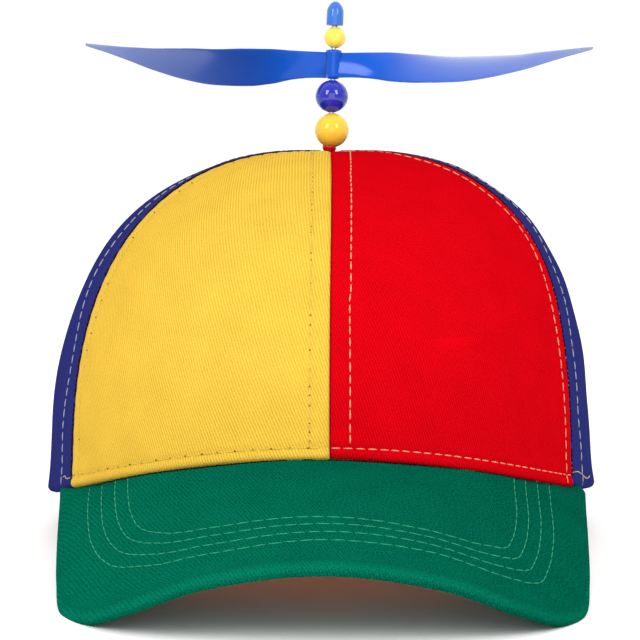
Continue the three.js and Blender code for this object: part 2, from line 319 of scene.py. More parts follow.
@dataclass(frozen=True)
class Mottle:
    """Soft noise on a surface."""

    scale: float
    amount: float
    detail: float = 2.0

    def on(self, graph: Graph, where: Sock) -> Sock:
        """Returns the noise at a place, times its amount."""
        return graph.noise(where, self.scale, self.detail) * self.amount


@dataclass(frozen=True)
class Twill:
    """Woven cotton with slanting ribs.

    The ribs lean by an angle in degrees, a pitch in millimetres apart. The cloth's tone mixes ribs,
    slubs and cloudy patches. It can carry painted light: a painted side light, lighter towards one
    end across a piece, and a painted highlight along a crest.
    """

    name: str
    shade: tuple[int, int, int]
    lean: float
    gain: float = 0.5
    pitch: float = 0.82
    depth: float = 0.4
    rib: float = 0.42
    slub: float = 0.65
    grain: float = 1.1
    # Painted light: a lighter side across the piece, and a painted highlight where a crest catches the
    # light.
    painted_side_light: float = 0.0
    painted_highlight: float = 0.0
    base_tone: float = -0.2
    bend: Mottle = Mottle(9.0, 1.1)
    waver: Mottle = Mottle(110.0, 0.3)
    fibre: Mottle = Mottle(460.0, 1.0, 3.0)
    cloud: Mottle = Mottle(22.0, 0.25, 3.0)
    rib_height: float = 1.4
    bump_height: float = 0.0002
    bump_strength: float = 0.8
    roughness: float = 0.85
    sheen: float = 0.08
    sheen_roughness: float = 0.4

    def material(self) -> bpy.types.Material:
        """Makes the finish.

        Returns:
            The material.
        """
        graph = Graph(self.name)
        flat, across, up = graph.cloth()
        angle = math.radians(self.lean)
        wander = self.bend.on(graph, flat) + self.waver.on(graph, flat)
        phase = (across * math.sin(angle) + up * math.cos(angle)) / self.pitch + wander
        rib = (phase * math.tau).sine() * 0.5 + 0.5
        slub = self.fibre.on(graph, flat)
        grain = (slub - 0.5) * self.grain + 0.5
        tone = rib * self.rib + grain * self.slub + self.cloud.on(graph, flat) + self.base_tone
        # Painted side light: lighter towards the low end of the flat coordinate across.
        if self.painted_side_light:
            tone = tone + (CLOTH_TILE_MM / 2 - across) * self.painted_side_light
        # Painted highlight, read from the piece's layer of painted highlight.
        if self.painted_highlight:
            tone = tone + graph.painted_highlight_share() * self.painted_highlight
        dark = linear(*self.shade, self.gain * (1 - self.depth))
        light = linear(*self.shade, self.gain * (1 + self.depth))
        height = rib * (self.rib_height * self.rib) + slub * self.slub
        return graph.dress(
            {
                "Base Color": graph.blend(tone, dark, light),
                "Normal": graph.bump(height, self.bump_height, self.bump_strength),
                "Roughness": self.roughness,
                "Specular IOR Level": 0.0,
                "Sheen Weight": self.sheen,
                "Sheen Roughness": self.sheen_roughness,
                "Sheen Tint": linear(*self.shade),
            }
        )


@dataclass(frozen=True)
class Thread:
    """Sewing thread."""

    name: str
    shade: tuple[int, int, int]
    gain: float = 0.5
    dark: float = 0.7
    light: float = 1.15
    fibre: Mottle = Mottle(900.0, 0.8)
    cloud: Mottle = Mottle(60.0, 0.3)
    roughness: float = 0.7
    specular: float = 0.05

    def material(self) -> bpy.types.Material:
        """Makes the finish.

        Returns:
            The material.
        """
        graph = Graph(self.name)
        place = graph.place()
        tone = self.fibre.on(graph, place) + self.cloud.on(graph, place)
        dark = linear(*self.shade, self.gain * self.dark)
        light = linear(*self.shade, self.gain * self.light)
        return graph.dress(
            {
                "Base Color": graph.blend(tone, dark, light),
                "Roughness": self.roughness,
                "Specular IOR Level": self.specular,
            }
        )


@dataclass(frozen=True)
class Gloss:
    """Glossy moulded plastic. A piece can be paler towards its tips: a painted reflection of the white
    surroundings.
    """

    name: str
    shade: tuple[int, int, int]
    gain: float = 0.55
    # The colour of the painted reflection towards the tips, if any.
    pale: tuple[int, int, int] | None = None
    roughness: float = 0.14
    coat: float = 0.4
    coat_ior: float = 1.5
    coat_roughness: float = 0.03
    dark: float = 0.88
    light: float = 1.1
    cloud: Mottle = Mottle(160.0, 1.0)
    uneven: Mottle = Mottle(420.0, 0.06)
    painted_reflection_power: float = 2.2
    painted_reflection_share: float = 0.8
    specular: float = 0.2

    def material(self) -> bpy.types.Material:
        """Makes the finish.

        Returns:
            The material.
        """
        graph = Graph(self.name)
        place = graph.place()
        dark = linear(*self.shade, self.gain * self.dark)
        light = linear(*self.shade, self.gain * self.light)
        base = graph.blend(self.cloud.on(graph, place), dark, light)
        # Painted reflection: the colour turns paler out along the flat coordinate, towards the tips.
        if self.pale:
            _, along, _ = graph.cloth()
            share = (along / CLOTH_TILE_MM) ** self.painted_reflection_power * self.painted_reflection_share
            base = graph.blend(share, base, linear(*self.pale, self.gain))
        return graph.dress(
            {
                "Base Color": base,
                "Roughness": self.uneven.on(graph, place) + self.roughness,
                "Specular IOR Level": self.specular,
                "Specular Tint": linear(*self.shade),
                "Coat Weight": self.coat,
                "Coat IOR": self.coat_ior,
                "Coat Roughness": self.coat_roughness,
            }
        )


@dataclass(frozen=True)
class Steel:
    """Drawn steel rod."""

    name: str
    shade: tuple[int, int, int]
    roughness: float = 0.22
    uneven: Mottle = Mottle(700.0, 0.2)

    def material(self) -> bpy.types.Material:
        """Makes the finish.

        Returns:
            The material.
        """
        graph = Graph(self.name)
        rough = self.uneven.on(graph, graph.place()) + self.roughness
        return graph.dress({"Base Color": linear(*self.shade), "Metallic": 1.0, "Roughness": rough})


class Finish(Enum):
    """Every finish of the cap, with the part's material slot."""

    YELLOW = ("yellow_twill", Twill("yellow cloth", (250, 203, 74), 67.0, 0.555, rib=0.36))
    RED = ("red_twill", Twill("red cloth", (226, 5, 20), 73.0, 0.535))
    BLUE = ("blue_twill", Twill("blue cloth", (50, 56, 128), 65.0, 0.5))
    # The green cloth carries painted light: lighter on the left, and a painted highlight on the peak's
    # front edge.
    GREEN = (
        "green_twill",
        Twill(
            "green cloth", (3, 106, 81), 71.0, 0.545, pitch=0.86, depth=0.66, rib=0.22, slub=0.8,
            grain=2.2, painted_side_light=0.0013, painted_highlight=0.2,
        ),
    )
    STEEL = ("rod_steel", Steel("rod steel", (150, 155, 170)))
    RED_PLASTIC = ("red_plastic", Gloss("red plastic", (214, 22, 26)))
    YELLOW_PLASTIC = ("yellow_plastic", Gloss("yellow plastic", (252, 199, 66), 0.76))
    PALE_PLASTIC = ("yellow_plastic", Gloss("pale yellow plastic", (250, 215, 88), 0.72))
    DARK_BLUE_PLASTIC = (
        "dark_blue_plastic",
        Gloss("dark blue plastic", (40, 48, 186), 0.58, coat_ior=1.85),
    )
    # The blade's paler tips are a painted reflection.
    BLADE_PLASTIC = (
        "blade_plastic",
        Gloss("blade plastic", (10, 90, 210), 0.58, (164, 172, 200), coat=0.36, coat_roughness=0.16),
    )
    LIGHT_BLUE_PLASTIC = ("light_blue_plastic", Gloss("light blue plastic", (70, 130, 222), 0.54))
    CREAM_THREAD = ("red_twill", Thread("cream thread", (255, 176, 132), 0.58))
    LILAC_THREAD = ("blue_twill", Thread("pale thread", (196, 194, 196)))
    YELLOW_THREAD = ("yellow_twill", Thread("yellow thread", (252, 214, 92)))
    BLUE_THREAD = ("blue_twill", Thread("blue thread", (84, 92, 160)))
    GREEN_THREAD = ("green_twill", Thread("green thread", (50, 164, 124), 0.61))
    TAIL_THREAD = ("red_twill", Thread("loose thread", (226, 206, 140), 0.55))
    # Dark thread in the seams beside the front panels, partly a painted shadow of the seams' crevices.
    SEAM_THREAD_AND_SHADOW = ("blue_twill", Thread("seam thread", (58, 22, 44), 0.35))
    SEAM_CORD = ("blue_twill", Thread("seam cord", (56, 54, 104), 0.5))
    # A dark cord in the groove under the hem: painted shadow.
    GROOVE_SHADOW_CORD = ("green_twill", Thread("join thread", (34, 28, 14), 0.4))
    NEEDLE_HOLE = ("yellow_twill", Thread("needle hole", (140, 92, 12), 0.42))

    def __init__(self, slot: str, look: "Twill | Thread | Gloss | Steel") -> None:
        """Keeps the slot and the look."""
        self.slot = slot
        self.look = look

    def material(self) -> bpy.types.Material:
        """Returns the material, made when it is first needed."""
        return bpy.data.materials.get(self.look.name) or self.look.material()


def mapped_sheet(columns: int, rows: int, place: Place, closed: bool = False) -> BMesh:
    """Bends a flat grid into a shape and keeps its flat coordinates.

    Args:
        columns: cells across the grid.
        rows: cells up the grid.
        place: gives each vertex's point and flat coordinates from its shares across and up. A third
        flat coordinate, if there is one, gives the share of painted highlight.
        closed: whether the grid's lower and upper edges meet, and its ends are to be filled.
    Returns:
        The bent grid.
    """
    bm = bmesh.new()
    bmesh.ops.create_grid(bm, x_segments=columns, y_segments=rows, size=0.5)
    bm.verts.index_update()
    shares = np.array([vert.co.xy[:] for vert in bm.verts]) + 0.5
    points, flat = place(shares[:, 0], shares[:, 1])
    layer = bm.loops.layers.uv.new(CLOTH)
    for face in bm.faces:
        face.smooth = True
        for corner in face.loops:
            corner[layer].uv = flat[corner.vert.index, :2]
    for vert, point in zip(bm.verts, points):
        vert.co = point
    # The share of painted highlight goes to its own layer.
    if flat.shape[1] > 2:
        painted_highlight_share = bm.verts.layers.float.new(PAINTED_HIGHLIGHT)
        for vert, painted_highlight in zip(bm.verts, flat[:, 2]):
            vert[painted_highlight_share] = painted_highlight
    if closed:
        bmesh.ops.remove_doubles(bm, verts=bm.verts, dist=WELD)
        bmesh.ops.holes_fill(bm, edges=bm.edges, sides=0)
        bmesh.ops.recalc_face_normals(bm, faces=bm.faces)
    return bm


def turned(profile: Sequence[tuple[float, float]], steps: int, ring: bool) -> BMesh:
    """Spins a profile around the Z axis.

    Args:
        profile: the profile's (radius, height) points.
        steps: cells around.
        ring: whether the profile closes on itself, clear of the axis.
    Returns:
        The turned solid.
    """
    bm = bmesh.new()
    verts = [bm.verts.new((radius, 0.0, height)) for radius, height in profile]
    nexts = verts[1:] + (verts[:1] if ring else [])
    edges = [bm.edges.new(pair) for pair in zip(verts, nexts)]
    around = {"cent": (0, 0, 0), "axis": (0, 0, 1), "angle": math.tau}
    bmesh.ops.spin(bm, geom=verts + edges, steps=steps, use_merge=True, **around)
    bmesh.ops.remove_doubles(bm, verts=bm.verts, dist=TURNED_WELD)
    bmesh.ops.recalc_face_normals(bm, faces=bm.faces)
    soften(bm)
    return bm


def soften(bm: BMesh) -> None:
    """Shades a mesh smoothly and keeps its sharp edges.

    Args:
        bm: the mesh.
    """
    for face in bm.faces:
        face.smooth = True
    for edge in bm.edges:
        edge.smooth = edge.calc_face_angle(0.0) < SHARP


def shown(name: str, bm: BMesh, finish: Finish, body: str, node: str = "") -> bpy.types.Object:
    """Makes a piece of the cap from a mesh.

    Args:
        name: the piece's name.
        bm: its mesh, used up here.
        finish: its finish.
        body: the body that it rides on.
        node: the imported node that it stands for, if any.
    Returns:
        The piece.
    """
    mesh = bpy.data.meshes.new(name)
    bm.to_mesh(mesh)
    bm.free()
    mesh.materials.append(finish.material())
    piece = bpy.data.objects.new(name, mesh)
    bpy.context.scene.collection.objects.link(piece)
    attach(piece, body)
    if node:
        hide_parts(node)
    return piece


def nearest_spots(tree: BVHTree, points: Sequence[Vector]) -> list[Spot]:
    """Finds the places of a surface that lie nearest to points.

    Args:
        tree: the surface.
        points: the points.
    Returns:
        The places, each with the surface's direction there.
    """
    found = [tree.find_nearest(point) for point in points]
    return [(place, normal) for place, normal, _, _ in found]


def thicken(piece: bpy.types.Object, thickness: float) -> None:
    """Gives a sheet its thickness, on the side away from its faces.

    Args:
        piece: the sheet.
        thickness: its thickness.
    """
    solidify = piece.modifiers.new("thickness", "SOLIDIFY")
    solidify.thickness = thickness
    solidify.offset = -1.0


@dataclass(frozen=True)
class Crown:
    """The crown's outer surface: angle runs from the front towards +X, climb from hem to top.

    Each pair of powers says how square the surface is, first at its shoulder and then up its wall.
    The drifts lean its upper part to the right. The bow pushes out the right front seam.
    """

    half_width: float = 0.0846
    front_reach: float = 0.100
    back_reach: float = 0.098
    hem_level: float = 0.0305
    brow_level: float = 0.0444
    brow_power: float = 1.95
    right_lift: float = 0.0014
    top: float = 0.1377
    top_back: float = 0.003
    top_right: float = 0.0032
    side_drift: float = 0.0047
    front_drift: float = 0.0026
    drift_power: float = 2.66
    meeting_power: float = 4.0
    side_powers: tuple[float, float] = (2.7, 2.74)
    front_powers: tuple[float, float] = (2.2, 2.75)
    back_powers: tuple[float, float] = (2.3, 2.4)
    floor_slope: float = 0.14
    floor_front: float = -0.135
    bow: float = 0.05
    bow_angle: float = 1.124
    bow_width: float = 0.45
    bow_climb: float = 0.52
    bow_rise: float = 0.17
    right_power: int = 10
    samples: int = 320
    crowding: float = 1.5

    def hem(self, angle: np.ndarray) -> np.ndarray:
        """Follows the hem.

        Args:
            angle: the angles.
        Returns:
            The hem's points.
        """
        forward = np.cos(angle)
        reach = np.where(forward > 0, self.front_reach, self.back_reach)
        rise = (self.brow_level - self.hem_level) * np.maximum(forward, 0) ** self.brow_power
        rise = rise + self.right_lift * np.maximum(np.sin(angle), 0) ** self.right_power
        across = self.half_width * np.sin(angle)
        return np.stack([across, -reach * forward, self.hem_level + rise], -1)

    def points(self, angle: np.ndarray, climb: np.ndarray) -> np.ndarray:
        """Gives the surface its shape.

        Args:
            angle: the angles.
            climb: the climbs, from 0 at the hem to 1 at the top.
        Returns:
            The surface's points.
        """
        angle, climb = np.broadcast_arrays(angle, climb)
        near_seam = bell(angle - self.bow_angle, self.bow_width)
        angle = angle + self.bow * near_seam * bell(climb - self.bow_climb, self.bow_rise)
        hem = self.hem(angle)
        base = np.maximum(hem[..., 2], self.floor_slope * (hem[..., 1] - self.floor_front))
        facing = np.cos(angle) ** 2
        ahead = np.cos(angle) > 0
        shoulder_end = np.where(ahead, self.front_powers[0], self.back_powers[0])
        wall_end = np.where(ahead, self.front_powers[1], self.back_powers[1])
        shoulder = lerp(self.side_powers[0], shoulder_end, facing)
        wall = lerp(self.side_powers[1], wall_end, facing)
        up = math.pi / 2 * np.clip(climb, 0, 1) ** (wall / 2)
        spread = np.maximum(np.cos(up), 0) ** (2 / shoulder)
        rise = np.sin(up) ** (2 / wall)
        drift_end = lerp(self.side_drift, self.front_drift, facing)
        meeting = (1 - spread) ** self.meeting_power
        drift = rise**self.drift_power * lerp(drift_end, self.top_right, meeting)
        return np.stack(
            [
                hem[..., 0] * spread + drift,
                hem[..., 1] * spread + self.top_back * (1 - spread),
                lerp(base, self.top, rise),
            ],
            -1,
        )

    def around(self, angle: np.ndarray, climb: np.ndarray) -> np.ndarray:
        """Returns the rate at which points move with the angle."""
        step = 1e-4
        return (self.points(angle + step, climb) - self.points(angle - step, climb)) / (2 * step)

    def normals(self, angle: np.ndarray, climb: np.ndarray) -> np.ndarray:
        """Finds the surface's outward directions.

        Args:
            angle: the angles.
            climb: the climbs.
        Returns:
            The directions, of length 1.
        """
        step = 1e-3
        low = np.clip(climb - step, 0, 1)
        high = np.clip(climb + step, 0, 1)
        up = self.points(angle, high) - self.points(angle, low)
        normal = np.cross(self.around(angle, climb), up)
        return normal / np.linalg.norm(normal, axis=-1, keepdims=True)

    def meridians(self, angle: np.ndarray) -> tuple[np.ndarray, np.ndarray]:
        """Measures the surface from hem to top.

        Args:
            angle: the angles.
        Returns:
            A row of climbs, and the lengths up to each, with a column for each angle.
        """
        climb = 1 - (1 - np.linspace(0, 1, self.samples)) ** self.crowding
        steps = np.diff(self.points(angle[None, :], climb[:, None]), axis=0)
        lengths = np.cumsum(np.linalg.norm(steps, axis=-1), axis=0)
        return climb, np.vstack([np.zeros(len(angle)), lengths])

    def climb_at(self, angle: np.ndarray, length: np.ndarray) -> np.ndarray:
        """Finds climbs by their lengths up from the hem.

        Args:
            angle: the angles.
            length: rows of lengths, with a column for each angle.
        Returns:
            The climbs, in the same rows and columns.
        """
        climb, lengths = self.meridians(angle)
        columns = [np.interp(length[:, i], lengths[:, i], climb) for i in range(len(angle))]
        return np.stack(columns, -1)

    def back_climb(self, height: np.ndarray) -> np.ndarray:
        """Finds climbs at the back of the crown.

        Args:
            height: heights above the hem.
        Returns:
            The climbs.
        """
        wall = self.back_powers[1]
        share = np.clip(height / (self.top - self.hem_level), 0, 1)
        return (np.arcsin(share ** (wall / 2)) / (math.pi / 2)) ** (2 / wall)


@dataclass(frozen=True)
class Arch:
    """The opening at the back of the crown."""

    half_width: float = 0.039
    height: float = 0.050

    def climb(self, crown: Crown, angle: np.ndarray) -> np.ndarray:
        """Follows the opening's edge.

        Args:
            crown: the crown's surface.
            angle: the angles.
        Returns:
            The edge's climbs, 0 beside the opening.
        """
        hem = crown.hem(angle)
        share = np.where(np.cos(angle) < 0, np.abs(hem[..., 0]) / self.half_width, 1.0)
        return crown.back_climb(self.height * np.sqrt(np.clip(1 - share**2, 0, 1)))

    def reach(self, crown: Crown) -> float:
        """Returns the angle from the back to the opening's foot."""
        return math.asin(self.half_width / crown.half_width)


@dataclass(frozen=True)
class Drape:
    """Gentle unevenness of cloth: a few long waves."""

    seed: int
    height: float = 0.00028
    waves: int = 7
    shortest: float = 0.022
    longest: float = 0.07
    crowd: float = 2.2

    def offsets(self, across: np.ndarray, up: np.ndarray) -> np.ndarray:
        """Adds up the waves.

        Args:
            across: flat coordinates across the cloth.
            up: flat coordinates up the cloth.
        Returns:
            The cloth's offsets.
        """
        chance = random.Random(self.seed)
        total = np.zeros_like(across)
        for _ in range(self.waves):
            heading = chance.uniform(0, math.pi)
            wave = math.tau / chance.uniform(self.shortest, self.longest)
            turn = (across * math.cos(heading) + up * math.sin(heading)) * wave
            total += np.sin(turn + chance.uniform(0, math.tau)) * self.height / self.crowd
        return total


@dataclass(frozen=True)
class SewnRelief:
    """The low relief that sewing gives to a panel: heights, and widths of where they show."""

    puff_rise: float = 0.0017
    hem_dent: float = 0.0004
    hem_dent_width: float = 0.0007
    tuck_width: float = 0.012
    tuck_rise: float = 0.0026
    seam_roll: float = 0.9
    dip_width: float = 0.0016
    groove: float = 0.00026
    groove_width: float = 0.0008
    ridge_inset: float = 0.0026
    ridge_width: float = 0.0022
    ridge_start: float = 0.0015
    pucker: float = 0.00007
    pucker_pitch: float = 0.0052
    pucker_inset: float = 0.004
    pucker_width: float = 0.004
    taut_hem: float = 0.02
    taut_seam: float = 0.005


@dataclass
class Panel:
    """One sewn panel of the crown, from a seam to the next.

    The panel runs between two angles in degrees. Laps and dips are given for its first seam and its
    second: how far the cloth stands up where it is folded, and how far it is drawn in.
    """

    name: str
    node: str
    finish: Finish
    start: float
    end: float
    level: LevelFrame
    crown: Crown
    seed: int
    laps: tuple[float, float] = (0.0002, 0.0002)
    dips: tuple[float, float] = (0.0, 0.0)
    hem_row: bool = False
    tuck: float = 0.0
    flare: float = 0.0
    flare_height: float = 0.05
    arch: Arch | None = None
    columns: int = 76
    rows: int = 150
    fold_share: float = 0.08
    fold_height: float = 0.009
    hem_radius: float = 0.0011
    hem_puff: float = 0.00065
    hem_stitch: float = 0.0036
    seam_radius: float = 0.0011
    seam_stitch: float = 0.0058
    post_clearance: float = 0.0014
    cloth: float = 0.0009
    flare_power: float = 0.7
    seam_crowding: float = 0.8
    arch_columns: float = 0.62
    row_crowding: float = 1.25
    flat_origin: tuple[float, float] = (0.5, 0.1)
    path_step: float = 0.0005
    hem_step: float = 0.3
    inset_limit: float = 0.4
    loose_points: int = 90
    loose_turn: float = 7.0
    loose_fall: float = 1.6
    sewn: SewnRelief = SewnRelief()
    tree: BVHTree | None = field(default=None, init=False)

    def column_angles(self, share: np.ndarray) -> np.ndarray:
        """Spreads the grid's columns, close together beside the seams and the opening's foot.

        Args:
            share: the columns' even shares.
        Returns:
            Their angles.
        """
        low, high = math.radians(self.start), math.radians(self.end)
        if self.arch is None:
            pull = self.seam_crowding * np.sin(math.tau * share) / math.tau
            return low + (high - low) * (share - pull)
        reach = self.arch.reach(self.crown)
        starts_at_back = self.start >= 180.0
        from_back = share if starts_at_back else 1 - share
        part = self.arch_columns
        over = reach * np.sin(math.pi / 2 * np.minimum(from_back / part, 1))
        beyond = np.clip((from_back - part) / (1 - part), 0, 1)
        angle = over + (high - low - reach) * np.sin(math.pi / 2 * beyond)
        return low + angle if starts_at_back else high - angle

    def place(self, across: np.ndarray, up: np.ndarray) -> tuple[np.ndarray, np.ndarray]:
        """Gives the panel's grid its shape: a hem folded under, seams, stitch lines, soft cloth.

        Args:
            across: shares across the panel.
            up: shares up the panel, from the folded edge inside to the top.
        Returns:
            The points and the flat coordinates.
        """
        columns, column_of = np.unique(np.round(across, 6), return_inverse=True)
        rows, row_of = np.unique(np.round(up, 6), return_inverse=True)
        angle = self.column_angles(columns)
        climbs, lengths = self.crown.meridians(angle)
        first = np.zeros(len(angle))
        if self.arch:
            edge = self.arch.climb(self.crown, angle)
            first = np.array([np.interp(e, climbs, lengths[:, i]) for i, e in enumerate(edge)])
        folded = (rows < self.fold_share)[:, None]
        inside = self.fold_height * (1 - rows / self.fold_share)[:, None]
        body = np.clip((rows - self.fold_share) / (1 - self.fold_share), 0, 1)[:, None]
        body = body**self.row_crowding
        last = lengths[-1] - self.post_clearance
        above = np.where(folded, inside, body * (last - first)[None, :])
        climb = self.crown.climb_at(angle, first[None, :] + above)
        speed = np.linalg.norm(self.crown.around(angle[None, :], climb), axis=-1)
        low, high = math.radians(self.start), math.radians(self.end)
        to_low = (angle - low)[None, :] * speed
        to_high = (high - angle)[None, :] * speed
        flat_across = (to_low - to_high) / 2
        offset = self.relief(above, to_low, to_high, folded)
        taut = self.sewn.taut_seam
        free = np.clip(above / self.sewn.taut_hem, 0, 1)
        free = free * (1 - bell(to_low, taut)) * (1 - bell(to_high, taut))
        offset += Drape(self.seed).offsets(flat_across, above) * free
        swell = np.sin(math.pi * (angle - low) / (high - low)) ** self.flare_power
        offset += self.flare * np.clip(1 - above / self.flare_height, 0, 1) ** 2 * swell[None, :]
        shell = self.crown.points(angle[None, :], climb)
        shell = shell + self.crown.normals(angle[None, :], climb) * offset[..., None]
        middle, foot = self.flat_origin
        flat = np.stack([flat_across / CLOTH_TILE + middle, (first + above) / CLOTH_TILE + foot], -1)
        return self.level.points(shell[row_of, column_of]), flat[row_of, column_of]

    def relief(
        self, above: np.ndarray, to_low: np.ndarray, to_high: np.ndarray, folded: np.ndarray
    ) -> np.ndarray:
        """Works out how far the cloth stands off the crown's surface.

        Args:
            above: lengths above the hem.
            to_low, to_high: distances to the two seams.
            folded: whether the row belongs to the fold inside the hem.
        Returns:
            The offsets, outwards.
        """
        sewn = self.sewn
        radius = self.hem_radius
        turn = radius - np.sqrt(np.maximum(radius**2 - (radius - np.minimum(above, radius)) ** 2, 0))
        lift = above / sewn.puff_rise
        hem = self.hem_puff * lift * np.exp(1 - lift) - turn
        if self.hem_row:
            hem = hem - sewn.hem_dent * bell(above - self.hem_stitch, sewn.hem_dent_width)
        hem = hem - self.tuck * bell(to_low, sewn.tuck_width) * bell(above, sewn.tuck_rise)
        total = np.where(folded, turn - 2 * radius, hem)
        room = np.clip((to_low + to_high) / 2 / self.seam_stitch - 1, 0, 1)
        for distance, lap, dip in zip((to_low, to_high), self.laps, self.dips):
            near = np.clip(1 - distance / self.seam_radius, 0, 1)
            roll = self.seam_radius * sewn.seam_roll * (1 - np.sqrt(1 - near**2))
            total = total - roll - dip * bell(distance, sewn.dip_width)
            groove = sewn.groove * bell(distance - self.seam_stitch, sewn.groove_width)
            ridge = lap * bell(distance - sewn.ridge_inset, sewn.ridge_width)
            ridge = ridge * np.clip(distance / sewn.ridge_start, 0, 1)
            pucker = sewn.pucker * np.sin(above * math.tau / sewn.pucker_pitch)
            pucker = pucker * bell(distance - sewn.pucker_inset, sewn.pucker_width)
            total = total + np.where(folded, 0, (ridge - groove + pucker) * room)
        return total

    def build(self) -> bpy.types.Object:
        """Makes the panel and keeps its surface for the sewing.

        Returns:
            The panel.
        """
        bm = mapped_sheet(self.columns, self.rows, self.place)
        self.tree = BVHTree.FromBMesh(bm)
        piece = shown(self.name, bm, self.finish, "cap", self.node)
        thicken(piece, self.cloth)
        return piece

    def on_cloth(self, points: np.ndarray) -> list[Spot]:
        """Returns the cloth's places and directions nearest to points of the level frame."""
        return nearest_spots(self.tree, [self.level.point(*point) for point in points])

    def seam_path(
        self, from_start: bool, inset: float, low: float, short: float = 0.004
    ) -> list[Spot]:
        """Follows a seam up the panel.

        Args:
            from_start: whether the seam is the panel's first.
            inset: distance from the seam.
            low: length above the edge at which the path starts.
            short: length below the top at which it ends.
        Returns:
            The path's places and directions.
        """
        seam = math.radians(self.start if from_start else self.end)
        angle = np.array([seam])
        climbs, lengths = self.crown.meridians(angle)
        first = 0.0
        if self.arch:
            first = float(np.interp(self.arch.climb(self.crown, angle)[0], climbs, lengths[:, 0]))
        reach = np.arange(first + low, lengths[-1, 0] - short, self.path_step)
        climb = np.interp(reach, lengths[:, 0], climbs)
        speed = np.linalg.norm(self.crown.around(np.full_like(climb, seam), climb), axis=-1)
        span = math.radians(self.end - self.start) * speed
        step = np.minimum(inset, span * self.inset_limit) / speed
        return self.on_cloth(self.crown.points(seam + step if from_start else seam - step, climb))

    def hem_path(self, height: float, start: float, end: float) -> list[Spot]:
        """Follows the hem.

        Args:
            height: the path's height above the hem.
            start, end: the angles between which it runs, in degrees.
        Returns:
            The path's places and directions.
        """
        angle = np.radians(np.arange(start, end, self.hem_step))
        climb = self.crown.climb_at(angle, np.full((1, len(angle)), height))[0]
        return self.on_cloth(self.crown.points(angle, climb))

    def loose_path(self, start: float, end: float, height: float, sway: float) -> list[Spot]:
        """Follows a loose thread that lies on the panel near the hem.

        Args:
            start, end: the angles between which it lies, in degrees.
            height: its height above the hem.
            sway: how far it sways up and down.
        Returns:
            The path's places and directions.
        """
        share = np.linspace(0, 1, self.loose_points)
        angle = np.radians(lerp(start, end, share))
        rise = height + sway * (np.sin(share * self.loose_turn) - self.loose_fall * share)
        climb = self.crown.climb_at(angle, rise[None, :])[0]
        return self.on_cloth(self.crown.points(angle, climb))


class Stitching:
    """Rows of thread, as one mesh of small rounded stitches.

    Its values are shares of a stitch's length or of the thread's radius.
    """

    SEGMENTS = 6
    RINGS = 5
    UNEVEN = (0.9, 1.08)
    STRAY = 0.05
    MIDDLE_PULL = 0.7
    END_PULL = 0.15
    STAND = 0.35
    FILL = 0.54
    FLATNESS = 0.8

    def __init__(self, name: str, finish: Finish, radius: float, seed: int) -> None:
        """Starts an empty set of rows.

        Args:
            name: the piece's name.
            finish: the thread's finish.
            radius: the thread's radius.
            seed: the seed of its unevenness.
        """
        self.name = name
        self.finish = finish
        self.radius = radius
        self.chance = random.Random(seed)
        self.bm = bmesh.new()

    def bead(self, centre: Vector, along: Vector, normal: Vector, half: float, rise: float) -> None:
        """Adds one stitch.

        Args:
            centre: its middle.
            along: its direction.
            normal: the cloth's direction.
            half: half its length.
            rise: half its height.
        """
        side = normal.cross(along).normalized()
        upward = along.cross(side).normalized()
        axes = Matrix((along.normalized() * half, side * self.radius, upward * rise))
        bmesh.ops.create_uvsphere(
            self.bm,
            u_segments=self.SEGMENTS,
            v_segments=self.RINGS,
            radius=1.0,
            matrix=Matrix.Translation(centre) @ axes.transposed().to_4x4(),
        )

    def row(
        self, path: list[Spot], stitch: float, gap: float, sunk: float = 0.0, keep: float = 1.0
    ) -> None:
        """Sews a row along a path.

        Args:
            path: the cloth's places and directions along the row.
            stitch: a stitch's length.
            gap: the length between stitches.
            sunk: how deep the thread sits in the cloth.
            keep: the share of stitches that show.
        """
        travel = [0.0]
        for (here, _), (there, _) in zip(path, path[1:]):
            travel.append(travel[-1] + (there - here).length)
        at = gap / 2
        while at + stitch < travel[-1]:
            length = stitch * self.chance.uniform(*self.UNEVEN)
            start = int(np.searchsorted(travel, at))
            end = min(int(np.searchsorted(travel, at + length)), len(path) - 1)
            here, there = path[start][0], path[end][0]
            middle, normal = path[(start + end) // 2]
            if (there - here).length > SHORTEST_STITCH and self.chance.random() < keep:
                stray = normal.cross(there - here) * self.chance.uniform(-self.STRAY, self.STRAY)
                centre = middle * self.MIDDLE_PULL + (here + there) * self.END_PULL
                centre = centre + normal * (self.radius * self.STAND - sunk)
                along = there - here + stray
                self.bead(centre, along, normal, length * self.FILL, self.radius * self.FLATNESS)
            at += length + gap

    def build(self) -> bpy.types.Object:
        """Makes the piece from all rows.

        Returns:
            The piece.
        """
        for face in self.bm.faces:
            face.smooth = True
        return shown(self.name, self.bm, self.finish, "cap")


